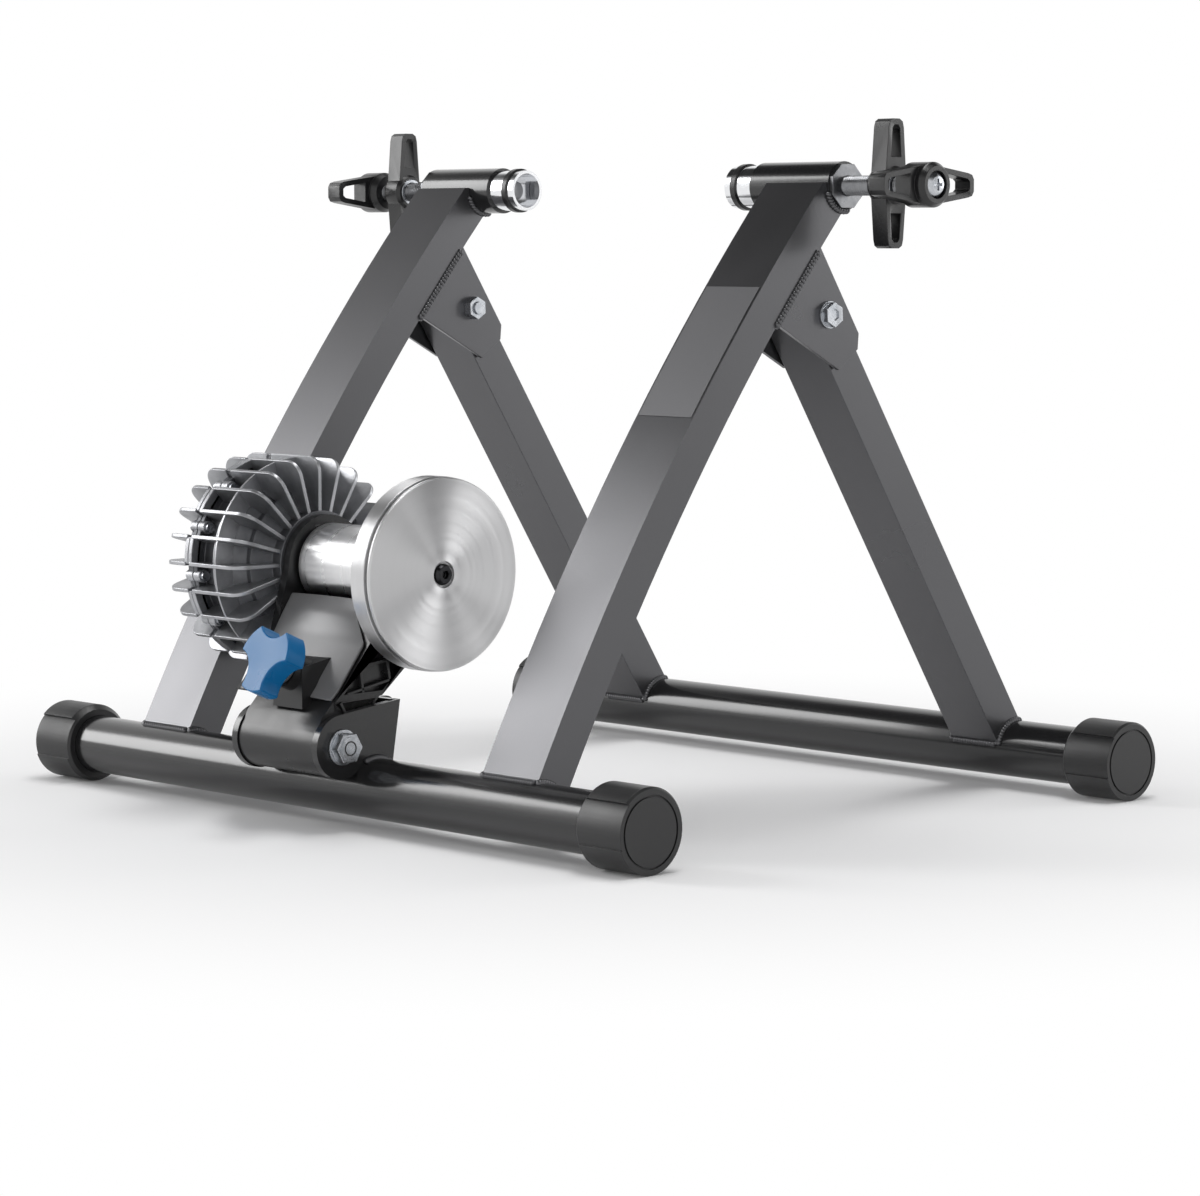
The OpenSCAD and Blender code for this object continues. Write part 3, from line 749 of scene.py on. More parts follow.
@dataclass
class Shop:
    """What each workshop takes in: the finishes and the tool that rounds edges."""

    wardrobe: Wardrobe
    rounder: EdgeRounder


@dataclass
class FrameShop(Shop):
    """The welded and folding steelwork, with sizes in millimetres and sweeps as start, end and step."""

    welder: WeldRun = field(default_factory=WeldRun)
    sided: Sequence[Rounding] = (
        ("upright_", 2.6, 4), ("leg_", 2.4, 4), ("hinge_bracket_", 0.7, 2), ("hinge_bolt_", 0.5, 2),
        ("hinge_nut_", 0.5, 2), ("cap_front_", 0.8, 3), ("cap_rear_", 0.8, 3), ("sleeve_nut_", 0.5, 2),
    )
    middle: Sequence[Rounding] = (("base_bracket", 0.7, 2), ("pivot_bolt", 0.6, 2), ("pivot_nut", 0.6, 2))
    corner: float = 2.0
    sleeve_sweep: Tuple[int, int, int] = (196, 292, 8)
    seam_rise: Tuple[int, int, int] = (294, 342, 4)
    seam_in: float = 0.2
    ear_out: float = 0.3
    ear_sweep: Tuple[float, float] = (46, 116)
    label_rise: Tuple[float, float] = (243.0, 317.5)
    label_inset: float = 1.6
    label_proud: float = 0.18
    label_t: float = 0.1

    def build(self) -> None:
        """Rounds the steelwork's edges, lays the welds and puts on the blank label film."""
        for side in Side:
            self.rounder.round_nodes(self.sided, side.tag)
            self.upright_welds(side)
            self.leg_welds(side)
        self.rounder.round_nodes(self.middle)
        self.bracket_welds()
        self.label()

    def tube_point(self, x: float, axis_y: float, angle: float) -> Vector:
        """A point on a base tube's skin, at an angle from +Y towards +Z."""
        return row(x, axis_y + BENCH.tube_r * math.cos(angle), BENCH.tube_z + BENCH.tube_r * math.sin(angle))

    def sleeve_point(self, x: float, angle: float) -> Vector:
        """A point on a clamp sleeve's skin, at an angle from +Y towards +Z."""
        return row(x, BENCH.clamp_y + BENCH.sleeve_r * math.cos(angle),
                   BENCH.clamp_z + BENCH.sleeve_r * math.sin(angle))

    def tube_angle(self, radius: float) -> float:
        """The angle about the front tube at which a curved face meets it, to half a degree.

        Args:
            radius: radius of the face about the bend's centre.

        Returns:
            The angle from +Y towards +Z, in radians.
        """
        def miss(angle: float) -> float:
            """How far the tube's skin is from the face there."""
            y = BENCH.tube_r * math.cos(angle)
            z = BENCH.tube_z + BENCH.tube_r * math.sin(angle)
            return abs(math.hypot(y - BENCH.bend_y, z - BENCH.bend_z) - radius)

        return min((math.radians(i * 0.5) for i in range(361)), key=miss)

    def foot(self, mesh: bmesh.types.BMesh, side: Side, axis_y: float, width: float,
             sweep: Tuple[float, float]) -> None:
        """Runs a weld round the foot of an upright or a leg, on its base tube.

        Args:
            mesh: the mesh that takes the weld.
            side: the trainer's end.
            axis_y: depth of the base tube's axis.
            width: the foot's width along the tube.
            sweep: angles of the foot's two faces about the tube, in radians.
        """
        near, far = BENCH.up_x - width / 2, BENCH.up_x + width / 2
        start, end = sweep
        for x in (near, far):
            self.welder.run(mesh, self.tube_arc(side.sign * x, axis_y, start, end))
        for angle in sweep:
            self.welder.run(mesh, [self.tube_point(side.sign * x, axis_y, angle)
                                   for x in (near + self.corner, far - self.corner)])

    def tube_arc(self, x: float, axis_y: float, start: float, end: float, steps: int = 14) -> List[Vector]:
        """Points along a base tube's skin at one station.

        Args:
            x: the station in millimetres.
            axis_y: depth of the tube's axis.
            start: first angle from +Y, in radians.
            end: last angle.
            steps: number of chords.

        Returns:
            The points in metres.
        """
        return [self.tube_point(x, axis_y, start + (end - start) * i / steps) for i in range(steps + 1)]

    def upright_welds(self, side: Side) -> None:
        """Welds an upright to the front tube, the clamp sleeve and its hinge bracket.

        Args:
            side: the trainer's end.
        """
        back = BENCH.bend_r - BENCH.up_d
        mesh = bmesh.new()
        self.foot(mesh, side, 0.0, BENCH.up_w, (self.tube_angle(BENCH.bend_r), self.tube_angle(back)))
        for way in (-1.0, 1.0):
            x = BENCH.up_x + way * BENCH.up_w / 2
            self.welder.run(mesh, [self.sleeve_point(side.sign * x, math.radians(a))
                                   for a in range(*self.sleeve_sweep)])
            self.welder.run(mesh, [BENCH.bend_point(side.sign * (x - way * self.seam_in), back, z)
                                   for z in range(*self.seam_rise)])
        self.wardrobe.add(mesh, "weld_upright_" + side.tag, "frame", "frame_steel", (), self.welder.smooth)

    def leg_welds(self, side: Side) -> None:
        """Welds a leg's foot round the rear tube.

        Args:
            side: the trainer's end.
        """
        half = math.asin(BENCH.leg_d / 2 / BENCH.tube_r)
        top = math.pi / 2 + BENCH.leg_angle
        mesh = bmesh.new()
        self.foot(mesh, side, BENCH.stance, BENCH.leg_w, (top - half, top + half))
        self.wardrobe.add(mesh, "weld_leg_" + side.tag, "rear_frame", "frame_steel", (), self.welder.smooth)

    def bracket_welds(self) -> None:
        """Welds the two ears of the unit's bracket to the front tube."""
        start, end = [math.radians(a) for a in self.ear_sweep]
        mesh = bmesh.new()
        for sign in (1.0, -1.0):
            self.welder.run(mesh, self.tube_arc(sign * (BENCH.ear_x + self.ear_out), 0.0, start, end))
        self.wardrobe.add(mesh, "weld_base_bracket", "frame", "frame_steel", (), self.welder.smooth)

    def label(self) -> None:
        """Puts a blank film, thin and slightly proud, on the right upright's front face."""
        radius = BENCH.bend_r + self.label_proud
        low, high = self.label_rise
        half = BENCH.up_w / 2 - self.label_inset
        mesh = bmesh.new()
        pair = [mesh.verts.new(BENCH.bend_point(BENCH.up_x + way * half, radius, low)) for way in (-1, 1)]
        edge = mesh.edges.new(pair)
        turn = math.asin((high - BENCH.bend_z) / radius) - math.asin((low - BENCH.bend_z) / radius)
        bmesh.ops.spin(mesh, geom=[edge] + pair, cent=row(0, BENCH.bend_y, BENCH.bend_z), axis=(1, 0, 0),
                       dvec=(0, 0, 0), angle=-turn, steps=24, use_merge=False)
        bmesh.ops.solidify(mesh, geom=mesh.faces[:], thickness=-self.label_t * MM)
        piece = self.wardrobe.add(mesh, "label_film", "frame", "frame_steel", (), 30.0)
        paint(piece, LABEL_FILM.make())


@dataclass
class ClampShop(Shop):
    """The two wheel clamps, with stations along the axle and radii in millimetres."""

    rod: ThreadedRod = field(default_factory=lambda: ThreadedRod(6.0, 1.75, 0.85))
    thread: Tuple[float, float] = (124.0, 250.5)
    neck: Outline = ((107.4, 6.0), (111.7, 6.0), (111.7, 4.0), (122.3, 4.0), (122.3, 6.0), (124.5, 6.0))
    ring: Outline = ((101.9, 12.0), (101.9, 13.2), (102.6, 14.2), (106.4, 14.2), (107.0, 13.4), (107.0, 12.0))
    sided: Sequence[Rounding] = (("handle_", 1.4, 3), ("lock_wing_", 1.2, 3), ("lock_insert_", 0.5, 2),
                                 ("handle_screw_", 0.3, 2))

    def build(self) -> None:
        """Makes both clamps."""
        for side in Side:
            tag = side.tag
            mesh = self.rod.build(*self.thread, self.neck)
            self.place(mesh, side)
            self.wardrobe.add(mesh, "rod_thread_" + tag, "rod_body_" + tag, "zinc", ("rod_" + tag,), 50.0)
            self.rounder.round_nodes(self.sided, tag)
            mesh = bmesh.new()
            lathe(mesh, self.ring, 64)
            self.place(mesh, side)
            self.wardrobe.add(mesh, "slim_ring_" + tag, "cup_body_" + tag, "black_plastic",
                              ("cup_ring_" + tag,), 30.0)

    def place(self, mesh: bmesh.types.BMesh, side: Side) -> None:
        """Moves a mesh made along +X to a clamp's axis, and turns it about for the left one.

        Args:
            mesh: the mesh.
            side: the clamp's side.
        """
        shift(mesh, BENCH.clamp_y, BENCH.clamp_z)
        if side is Side.LEFT:
            bmesh.ops.transform(mesh, verts=mesh.verts, matrix=Matrix.Rotation(math.pi, 4, "Z"))
            bmesh.ops.translate(mesh, verts=mesh.verts, vec=2 * row(0, BENCH.clamp_y, 0))


@dataclass
class UnitShop(Shop):
    """The swinging unit's arm, cover, flywheel, knob and pivot, as (station, radius) pairs in millimetres."""

    rounded: Sequence[Rounding] = (("tension_knob", 2.8, 5), ("thrust_washer", 0.4, 2),
                                   ("flywheel_bolt", 0.4, 2), ("barrel_nut", 0.4, 2))
    screw: ThreadedRod = field(default_factory=lambda: ThreadedRod(4.0, 1.25, 0.6))
    screw_thread: Tuple[float, float] = (15.0, 97.0)
    screw_neck: Outline = ((3.2, 4.0), (15.4, 4.0))
    cell_x: float = 31.9
    cell_t: float = 8.0
    hub: Outline = ((31.0, 10.5), (31.0, 17.0), (36.3, 17.0), (36.3, 10.5))
    rib_x: float = 31.2
    rib_half: float = 0.9
    rib_t: float = 4.9
    cover_t: float = 1.8
    flywheel: Outline = ((39, 6), (39, 20), (44, 20), (44, 48.8), (39, 48.8), (39, 57), (39.8, 57.8),
                         (51.0, 57.8), (51.3, 57.5), (51.3, 54.0), (53.7, 54.0), (53.7, 57.2), (54.0, 57.4),
                         (55.2, 57.4), (56, 56.6), (56, 8), (54, 8), (54, 6))
    groove_ring: Outline = ((51.32, 53.5), (51.32, 55.4), (53.68, 55.4), (53.68, 53.5))
    bolt: Outline = ((-49, 0), (-49, 5), (40, 5), (40, 8.8), (41.4, 8.8), (41.6, 8.6), (41.6, 0))
    hexagon: Outline = tuple((7.6 * math.cos(i * math.pi / 3), 7.6 * math.sin(i * math.pi / 3))
                             for i in range(6))
    hexagon_x: float = 41.5
    hexagon_t: float = 6.3
    # Outline of the black piece that paints the shade of the pivot bolt's socket.
    socket: Outline = ((46, 0), (46, 4.4), (47.95, 4.4), (47.95, 3.6), (47, 3.2), (47, 0))

    def build(self) -> None:
        """Makes the arm, cover, flywheel, pivot bolt, knob, screw and the small turned pieces."""
        self.arm()
        self.cover()
        self.groove()
        self.pivot_head()
        self.rounder.round_nodes(self.rounded)
        mesh = self.screw.build(*self.screw_thread, self.screw_neck)
        turn = (Matrix.Rotation(math.radians(-90 - BENCH.screw_tilt), 4, "X")
                @ Matrix.Rotation(-math.pi / 2, 4, "Y"))
        seat = Matrix.Translation(row(BENCH.knob_x, BENCH.knob_y, BENCH.knob_z))
        bmesh.ops.transform(mesh, verts=mesh.verts, matrix=seat @ turn)
        self.wardrobe.add(mesh, "tension_thread", "knob_body", "zinc", ("tension_screw",), 50.0)

    def arm(self) -> None:
        """Cuts the pockets of the swing arm deeper and lays its lattice of ribs in them."""
        tool = bmesh.new()
        for cell in (ARM.pocket, ARM.low_cell):
            prism(tool, cell, self.cell_t, Matrix.Translation(row(self.cell_x, 0, 0)) @ ACROSS)
        mesh = carve(self.rounder.join("swing_arm"), tool)
        self.rounder.flatten(mesh)
        piece = self.wardrobe.add(mesh, "arm_casting", "unit", "black_plastic", ("swing_arm",), 40.0)
        self.rounder.soften(piece, 0.8, 2)
        mesh = bmesh.new()
        lathe(mesh, self.hub, 64)
        shift(mesh, BENCH.roller_y, BENCH.roller_z)
        for y, z, degrees in ARM.ribs:
            low, high = ARM.reach(y, z, degrees)
            half = self.rib_half
            strip = [(low, -half), (high, -half), (high, half), (low, half)]
            spot = Matrix.Translation(row(self.rib_x, y, z))
            prism(mesh, strip, self.rib_t, spot @ Matrix.Rotation(math.radians(degrees), 4, "X") @ ACROSS)
        piece = self.wardrobe.add(mesh, "arm_ribs", "unit", "black_plastic", (), 30.0)
        self.rounder.soften(piece, 0.35, 2)

    def cover(self) -> None:
        """Bends a crowned sheet over the arm's front and thickens it."""
        mesh = bmesh.new()
        bmesh.ops.create_grid(mesh, x_segments=24, y_segments=28, size=0.5)
        for vert in mesh.verts:
            vert.co = ARM.cover_point(vert.co.x * 2, vert.co.y + 0.5)
        bmesh.ops.recalc_face_normals(mesh, faces=mesh.faces)
        bmesh.ops.solidify(mesh, geom=mesh.faces[:], thickness=self.cover_t * MM)
        piece = self.wardrobe.add(mesh, "crowned_cover", "unit", "cover_grey", ("arm_cover",), 40.0)
        self.rounder.soften(piece, 0.6, 3)

    def groove(self) -> None:
        """Cuts the flywheel's rim groove deeper and blacks its floor."""
        # A black ring lines the floor of the groove.
        for outline, name, slot, replaced in (
                (self.flywheel, "faced_flywheel", "turned_steel", ("flywheel",)),
                (self.groove_ring, "groove_floor", "black_plastic", ())):
            mesh = bmesh.new()
            lathe(mesh, outline, 192)
            shift(mesh, BENCH.roller_y, BENCH.roller_z)
            self.wardrobe.add(mesh, name, "rotor", slot, replaced, 30.0)

    def pivot_head(self) -> None:
        """Turns the pivot bolt with its washer and hexagon, and a black piece on the hexagon's face as
        painted shade of its socket.
        """
        mesh = bmesh.new()
        lathe(mesh, self.bolt, 48)
        seat = Matrix.Translation(Vector((self.hexagon_x, 0, 0)) * MM)
        prism(mesh, self.hexagon, self.hexagon_t, seat @ ACROSS)
        shift(mesh, BENCH.pivot_y, BENCH.pivot_z)
        piece = self.wardrobe.add(mesh, "pivot_bolt_turned", "frame", "zinc", ("pivot_bolt",), 30.0)
        self.rounder.soften(piece, 0.4, 2)
        # A black piece on the hexagon's face paints the shade of the bolt's socket.
        mesh = bmesh.new()
        lathe(mesh, self.socket, 32)
        shift(mesh, BENCH.pivot_y, BENCH.pivot_z)
        self.wardrobe.add(mesh, "pivot_socket_painted_shade", "frame", "black_plastic", (), 30.0)


@dataclass(frozen=True)
class ArmSizes:
    """Outlines of the swing arm and its cover over the front tube's axis, in millimetres.

    A rib is the y and z of its middle and its lean in degrees. Above taper_z the cover's flywheel
    side leans in, by taper_in over taper_rise, and it stays right of least_x.
    """

    pocket: Outline = ((-21, 80.5), (-19, 82.5), (1.4, 109.6), (20, 142), (50, 133), (46.5, 117),
                       (24.5, 95), (8.5, 81))
    low_cell: Outline = ((-26.4, 71.6), (-25.8, 75.4), (4.6, 76.8), (-8.4, 64.6), (-12, 64.2), (-18, 68.8))
    ribs: Sequence[Point] = ((-21.4, 73, 119), (-6.6, 86, 98), (13.6, 92, 100), (33, 112, 100),
                             (-8, 82.4, 11), (4, 97.6, 7), (22, 115, 7), (32, 131, 7))
    rib_in: float = 0.5
    front: Outline = ((-29.1, 78.1), (-23.1, 83.5), (-2.5, 110.9), (4.2, 122.1), (11.4, 132.9))
    left: float = -52.0
    right: float = 33.6
    taper_z: float = 109.0
    taper_in: float = 17.6
    taper_rise: float = 15.0
    least_x: float = 14.0
    crown: float = 3.6
    crown_edge: float = 0.25
    crown_swell: float = 5.0
    crown_way: Tuple[float, float] = (-0.8, 0.6)

    def reach(self, y: float, z: float, degrees: float) -> Tuple[float, float]:
        """How far a rib runs each way from its middle before it meets its pocket's wall.

        Args:
            y: the middle's place behind the front tube's axis.
            z: its height.
            degrees: the rib's lean from the Y axis.

        Returns:
            The two ends along the rib, each a little inside the wall.
        """
        ahead = (math.cos(math.radians(degrees)), math.sin(math.radians(degrees)))
        hits = []
        for shape in (self.pocket, self.low_cell):
            for (ya, za), (yb, zb) in zip(shape, shape[1:] + shape[:1]):
                cross = ahead[0] * (zb - za) - ahead[1] * (yb - ya)
                if abs(cross) < 1e-9:
                    continue
                along = ((ya - y) * (zb - za) - (za - z) * (yb - ya)) / cross
                part = ((ya - y) * ahead[1] - (za - z) * ahead[0]) / cross
                if 0.0 <= part <= 1.0:
                    hits.append(along)
        return max(h for h in hits if h < 0) - self.rib_in, min(h for h in hits if h > 0) + self.rib_in

    def cover_point(self, u: float, v: float) -> Vector:
        """A point of the cover's outside.

        Args:
            u: minus one at the drum side, plus one at the flywheel side.
            v: zero at the foot, one at the top.

        Returns:
            The point in metres.
        """
        spans = [math.dist(a, b) for a, b in zip(self.front, self.front[1:])]
        left = v * sum(spans)
        k = 0
        while k < len(spans) - 1 and left > spans[k]:
            left -= spans[k]
            k += 1
        part = left / spans[k]
        (ya, za), (yb, zb) = self.front[k], self.front[k + 1]
        y, z = ya + (yb - ya) * part, za + (zb - za) * part
        edge = self.right - max(z - self.taper_z, 0.0) * self.taper_in / self.taper_rise
        edge = max(edge, self.least_x)
        swell = min(1.0, self.crown_swell * v * (1 - v) + self.crown_edge)
        bulge = self.crown * (1 - u * u) * swell
        return row(self.left + (edge - self.left) * (u + 1) / 2, y + bulge * self.crown_way[0],
                   z + bulge * self.crown_way[1])


ARM = ArmSizes()


@dataclass(frozen=True)
class DrumHalf:
    """One half of the drum: its node, the way it faces and (station, radius) pairs in millimetres."""

    node: str
    way: float
    core: Outline
    fin_rim: Outline
    shoulder: Tuple[float, float]
    fin_foot: Outline
    bay_start: float

    def fin(self, radius: float) -> Outline:
        """The outline of one fin.

        Args:
            radius: radius of its rounded shoulder.

        Returns:
            The outline as (station, radius) pairs.
        """
        x, r = self.shoulder
        turns = [math.radians(90.0 - self.way * 90.0 * i / 8) for i in range(9)]
        arc = tuple((x + radius * math.cos(a), r + radius * math.sin(a)) for a in turns)
        return self.fin_rim + arc + self.fin_foot


@dataclass
class DrumShop(Shop):
    """The two-half resistance drum: a core darkened as painted shade between the fins, lighter fins, bay rims
    and screw bosses, in millimetres.
    """

    halves: Sequence[DrumHalf] = (
        DrumHalf("casing_inner", 1.0,
                 ((-107.8, 49), (-107.8, 60), (-104.5, 60), (-104.5, 54), (-84, 54), (-75, 45), (-71, 45),
                  (-66, 32), (-58, 32), (-58, 14), (-66.3, 14), (-66.3, 9), (-72, 9), (-80, 39), (-90, 49)),
                 ((-106, 52), (-106, 65)), (-69.0, 55.0), ((-59, 31), (-67, 31), (-72, 44), (-86, 52)), 0.2),
        DrumHalf("casing_outer", -1.0,
                 ((-108.2, 49), (-108.2, 60), (-111.5, 60), (-111.5, 54), (-121, 54), (-128, 45), (-129, 20),
                  (-133, 18), (-133, 0), (-130, 0), (-130, 11), (-121.5, 11), (-121.5, 14), (-118, 14),
                  (-118, 40), (-114, 49)),
                 ((-110, 52), (-110, 65)), (-122.5, 55.0), ((-132.5, 22), (-128, 22), (-127, 44), (-120, 52)),
                 -3.5),
    )
    split: float = -108.0
    rings: Sequence[Tuple[float, float, float, float]] = (
        (-92, -91, 52, 57.5), (-88, -87, 52, 57.5), (-82.6, -81, 47, 63.8))
    fins: int = 24
    fin_t: float = 2.4
    shoulder_r: float = 10.0
    bays: int = 12
    bay: Tuple[float, float] = (57.5, 64.3)
    bay_t: float = 3.3
    bay_turns: Sequence[float] = (-15, -10, -5, 0)
    boss_r: float = 4.2
    boss_at: float = 57.0
    boss_off: float = 3.4
    boss_t: float = 6.2
    boss_turn: float = 97.5

    def finish(self, mesh: bmesh.types.BMesh, name: str, replaced: Sequence[str], round_by: float) -> None:
        """Moves a mesh made about the X axis to the drum and adds it.

        Args:
            mesh: the mesh.
            name: the piece's name.
            replaced: frame nodes that it stands for.
            round_by: bevel width in millimetres.
        """
        shift(mesh, BENCH.roller_y, BENCH.roller_z)
        piece = self.wardrobe.add(mesh, name, "unit", "cast_aluminium", replaced, 30.0)
        self.rounder.soften(piece, round_by, 2)

    def build(self) -> None:
        """Makes both halves."""
        for half in self.halves:
            mesh = bmesh.new()
            # Each core is dressed darker than the fins, as painted shade between them.
            lathe(mesh, half.core)
            self.finish(mesh, half.node + "_core", (half.node,), 0.5)
        mesh = bmesh.new()
        for low, high, inside, outside in self.rings:
            lathe(mesh, ((low, inside), (low, outside), (high, outside), (high, inside)))
        self.finish(mesh, "drum_rings", (), 0.3)
        middle = Matrix.Translation(Vector((0, self.fin_t / 2, 0)) * MM)
        for half in self.halves:
            mesh = bmesh.new()
            for i in range(self.fins):
                turn = Matrix.Rotation(math.tau * i / self.fins, 4, "X")
                prism(mesh, half.fin(self.shoulder_r), self.fin_t, turn @ middle @ AROUND)
            self.rim(mesh, half)
            self.finish(mesh, half.node.replace("casing", "drum_fins"), (), 0.5)

    def rim(self, mesh: bmesh.types.BMesh, half: DrumHalf) -> None:
        """Adds the rim pieces between alternate fins and the screw bosses between the others.

        Args:
            mesh: the mesh that takes them.
            half: the half that they belong to.
        """
        low, high = self.bay
        step = 360 / self.bays
        for i in range(self.bays):
            ends = [math.radians(step * i + turn) for turn in self.bay_turns]
            shape = [(high * math.cos(a), high * math.sin(a)) for a in ends]
            shape += [(low * math.cos(a), low * math.sin(a)) for a in reversed(ends)]
            start = Vector((self.split + half.bay_start, 0, 0)) * MM
            prism(mesh, shape, self.bay_t, Matrix.Translation(start) @ ACROSS)
            angle = math.radians(self.boss_turn + step * i)
            spot = (self.split + half.way * self.boss_off, self.boss_at * math.cos(angle),
                    self.boss_at * math.sin(angle))
            bar(mesh, spot, (self.boss_r, self.boss_r), self.boss_t, 24)


@dataclass
class Studio:
    """Camera, plain light, pale floor and the dark cloth and card that metal mirrors, in metres.

    A lamp is its name, place, target, width and height, and watts. A stop of the sky is its place on
    the ramp from the ground up and its linear red, green and blue.
    """

    image_width: float = 1200.0
    sensor: float = 36.0
    focal: float = 3839.2
    eye_mm: Point = (1761.9, -1434.6, 344.1)
    yaw: float = 0.8174
    pitch: float = 0.0926
    clip: Tuple[float, float] = (0.05, 60.0)
    lamps: Sequence[Tuple[str, Point, Point, Tuple[float, float], float]] = (
        ("softbox", (-2.40, -1.50, 1.28), (0.0, 0.0, 0.2), (0.95, 1.7), 32.0),
        ("overhead", (0.2, 0.2, 2.4), (0.0, 0.05, 0.1), (1.8, 0.6), 24.0),
        ("back_box", (1.5, 2.4, 0.85), (0.0, 0.0, 0.2), (1.2, 1.0), 12.0),
    )
    sky: Sequence[Tuple[float, Point]] = ((0.0, (0.9, 0.9, 0.9)), (0.45, (0.75, 0.75, 0.76)),
                                          (1.0, (0.45, 0.45, 0.46)))
    sky_low: float = -0.2
    sky_strength: float = 0.62
    floor_tone: str = "#fafafa"
    floor_r: float = 14.0
    floor_drop: float = 0.0002
    floor_fade: Tuple[float, float] = (0.26, 0.72)
    cloth_z: float = 2.6
    cloth_fade: Tuple[float, float] = (2.4, 3.6)
    cloth_glow: float = 0.03
    flag_x_mm: float = 56.0
    flag_r: float = 3.0
    flag_h: float = 3.4
    flag_turn: float = 39.0
    flag_width: float = 34.0
    flag_lead: float = 14.0
    flag_glow: float = 0.04

    def build(self) -> None:
        """Makes the whole studio."""
        self.camera()
        for lamp in self.lamps:
            self.lamp(*lamp)
        self.world()
        self.floor()
        self.dark_ceiling()
        self.dark_flag()
        bpy.context.scene.view_settings.view_transform = "Standard"

    def camera(self) -> None:
        """Sets the camera where the photograph was taken from."""
        data = bpy.data.cameras.new("camera")
        data.sensor_width = self.sensor
        data.lens = self.focal / self.image_width * data.sensor_width
        data.clip_start, data.clip_end = self.clip
        camera = bpy.data.objects.new("camera", data)
        bpy.context.scene.collection.objects.link(camera)
        ahead = Vector((-math.sin(self.yaw) * math.cos(self.pitch), math.cos(self.yaw) * math.cos(self.pitch),
                        -math.sin(self.pitch)))
        camera.rotation_mode = "QUATERNION"
        camera.rotation_quaternion = ahead.to_track_quat("-Z", "Y")
        camera.location = row(*self.eye_mm)
        bpy.context.scene.camera = camera

    def lamp(self, name: str, place: Point, target: Point, size: Tuple[float, float], power: float) -> None:
        """Adds one large soft lamp.

        Args:
            name: the lamp's name.
            place: where it stands, in metres.
            target: what it faces.
            size: width and height in metres.
            power: watts.
        """
        data = bpy.data.lights.new(name, "AREA")
        data.shape, data.size, data.size_y, data.energy = "RECTANGLE", size[0], size[1], power
        lamp = bpy.data.objects.new(name, data)
        lamp.location = place
        lamp.rotation_mode = "QUATERNION"
        lamp.rotation_quaternion = (Vector(target) - Vector(place)).to_track_quat("-Z", "Y")
        bpy.context.scene.collection.objects.link(lamp)

    def plain_view(self, tree: bpy.types.NodeTree) -> bpy.types.NodeSocket:
        """One for the rays that should meet a plain white background: camera, glossy and transmission.

        Args:
            tree: the nodes of the world or the floor.

        Returns:
            The socket that is one for such a ray.
        """
        rays = add_node(tree, "ShaderNodeLightPath", {}, {})
        first = add_node(tree, "ShaderNodeMath", {"operation": "MAXIMUM"},
                         {0: rays.outputs["Is Camera Ray"], 1: rays.outputs["Is Transmission Ray"]})
        return add_node(tree, "ShaderNodeMath", {"operation": "MAXIMUM"},
                        {0: first.outputs[0], 1: rays.outputs["Is Glossy Ray"]}).outputs[0]

    def world(self) -> None:
        """Makes an even white room that the camera and bright metal see as white."""
        world = bpy.data.worlds.new("studio")
        world.use_nodes = True
        tree = world.node_tree
        tree.nodes.clear()
        clear = self.plain_view(tree)
        way = add_node(tree, "ShaderNodeTexCoord", {}, {})
        parts = add_node(tree, "ShaderNodeSeparateXYZ", {}, {0: way.outputs["Generated"]})
        lift = add_node(tree, "ShaderNodeMapRange", {"in:From Min": self.sky_low, "in:From Max": 1.0},
                        {"Value": parts.outputs["Z"]})
        shade = add_node(tree, "ShaderNodeValToRGB", {}, {"Fac": lift.outputs[0]})
        stops = shade.color_ramp.elements
        stops.new(self.sky[1][0])
        for stop, (place, tone) in zip(stops, self.sky):
            stop.position = place
            stop.color = (*tone, 1)
        soft = add_node(tree, "ShaderNodeBackground", {"in:Strength": self.sky_strength},
                        {"Color": shade.outputs[0]})
        white = add_node(tree, "ShaderNodeBackground", {"in:Color": (1, 1, 1, 1), "in:Strength": 1.0}, {})
        mix = add_node(tree, "ShaderNodeMixShader", {},
                       {0: clear, 1: soft.outputs[0], 2: white.outputs[0]})
        add_node(tree, "ShaderNodeOutputWorld", {}, {"Surface": mix.outputs[0]})
        bpy.context.scene.world = world

    def disc(self, name: str, radius: float, height: float) -> bpy.types.Object:
        """Lays a flat disc over the trainer's middle.

        Args:
            name: the disc's name.
            radius: its radius.
            height: its height above the floor.

        Returns:
            The disc.
        """
        mesh = bmesh.new()
        bmesh.ops.create_circle(mesh, cap_ends=True, radius=radius, segments=96)
        piece = hang(mesh, name)
        piece.location = (0, 0, height)
        return piece

    def fade(self, tree: bpy.types.NodeTree, span: Tuple[float, float], least: float) -> bpy.types.NodeSocket:
        """Rises to one between two distances from a piece's middle.

        Args:
            tree: the material's nodes.
            span: the two distances.
            least: the value before the first one.

        Returns:
            The socket that holds the value.
        """
        place = add_node(tree, "ShaderNodeTexCoord", {}, {})
        reach = add_node(tree, "ShaderNodeVectorMath", {"operation": "LENGTH"}, {0: place.outputs["Object"]})
        return add_node(tree, "ShaderNodeMapRange", {
            "interpolation_type": "SMOOTHSTEP", "in:From Min": span[0], "in:From Max": span[1],
            "in:To Min": least, "in:To Max": 1.0}, {"Value": reach.outputs["Value"]}).outputs[0]

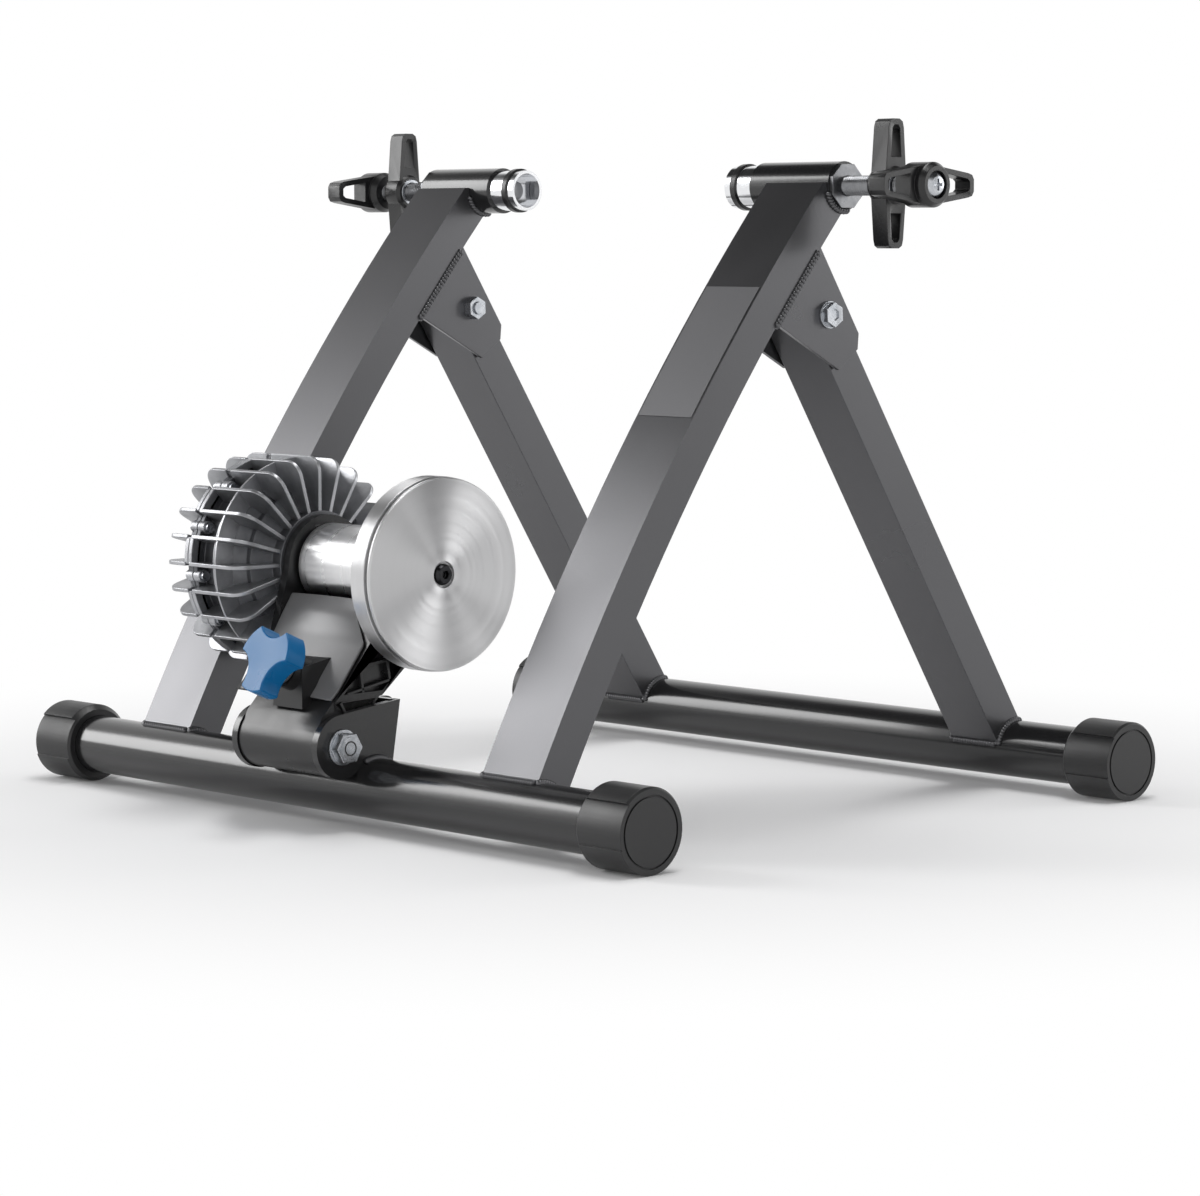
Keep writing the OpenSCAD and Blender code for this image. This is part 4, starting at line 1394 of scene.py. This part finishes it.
    def floor(self) -> None:
        """Lays a pale disc that keeps the trainer's shadow and fades into the white room."""
        plane = self.disc("floor", self.floor_r, -self.floor_drop)
        material = blank_material("studio_floor")
        tree = material.node_tree
        fade = self.fade(tree, self.floor_fade, 0.0)
        matt = add_node(tree, "ShaderNodeBsdfDiffuse", {"in:Color": linear(self.floor_tone)}, {})
        glow = add_node(tree, "ShaderNodeEmission", {"in:Color": (1, 1, 1, 1), "in:Strength": 1.0}, {})
        seen = add_node(tree, "ShaderNodeMath", {"operation": "MULTIPLY"},
                        {0: fade, 1: self.plain_view(tree)})
        mix = add_node(tree, "ShaderNodeMixShader", {},
                       {0: seen.outputs[0], 1: matt.outputs[0], 2: glow.outputs[0]})
        add_node(tree, "ShaderNodeOutputMaterial", {}, {"Surface": mix.outputs[0]})
        paint(plane, material)

    def dark_ceiling(self) -> None:
        """Hangs a dark cloth overhead that only bright surfaces mirror, so that metal shows its shape."""
        cloth = self.disc("ceiling_cloth", self.cloth_fade[1], self.cloth_z)
        self.mirrored_only(cloth)
        material = blank_material("studio_ceiling_cloth")
        tree = material.node_tree
        fade = self.fade(tree, self.cloth_fade, self.cloth_glow)
        glow = add_node(tree, "ShaderNodeEmission", {"in:Color": (1, 1, 1, 1)}, {"Strength": fade})
        add_node(tree, "ShaderNodeOutputMaterial", {}, {"Surface": glow.outputs[0]})
        paint(cloth, material)

    def dark_flag(self) -> None:
        """Stands a dark card, narrow at its foot, beside the camera, for the flywheel to mirror."""
        mesh = bmesh.new()
        bmesh.ops.create_grid(mesh, x_segments=8, y_segments=8, size=0.5)
        for vert in mesh.verts:
            up = vert.co.y + 0.5
            spread = (self.flag_width * (vert.co.x + 0.5) - self.flag_lead) * up
            turn = math.radians(self.flag_turn + spread)
            vert.co = Vector((self.flag_r * math.cos(turn), self.flag_r * math.sin(turn), self.flag_h * up))
        flag = hang(mesh, "flag")
        flag.location = row(self.flag_x_mm, BENCH.roller_y, 0)
        self.mirrored_only(flag)
        material = blank_material("studio_flag")
        glow = add_node(material.node_tree, "ShaderNodeEmission",
                        {"in:Color": (1, 1, 1, 1), "in:Strength": self.flag_glow}, {})
        add_node(material.node_tree, "ShaderNodeOutputMaterial", {}, {"Surface": glow.outputs[0]})
        paint(flag, material)

    def mirrored_only(self, piece: bpy.types.Object) -> None:
        """Leaves a studio piece to be met by mirroring rays alone.

        Args:
            piece: the object.
        """
        piece.visible_camera = piece.visible_diffuse = piece.visible_shadow = False
        piece.visible_transmission = piece.visible_volume_scatter = False


def main() -> None:
    """Builds the classes in order and finishes the scene."""
    logging.basicConfig(level=logging.INFO, format="%(message)s")
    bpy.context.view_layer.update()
    Studio().build()
    wardrobe = Wardrobe()
    for name, node in frame["nodes"].items():
        wardrobe.dress_node(node, name)
    rounder = EdgeRounder(wardrobe)
    FrameShop(wardrobe, rounder).build()
    ClampShop(wardrobe, rounder).build()
    DrumShop(wardrobe, rounder).build()
    UnitShop(wardrobe, rounder).build()


if __name__ == "__main__":
    main()
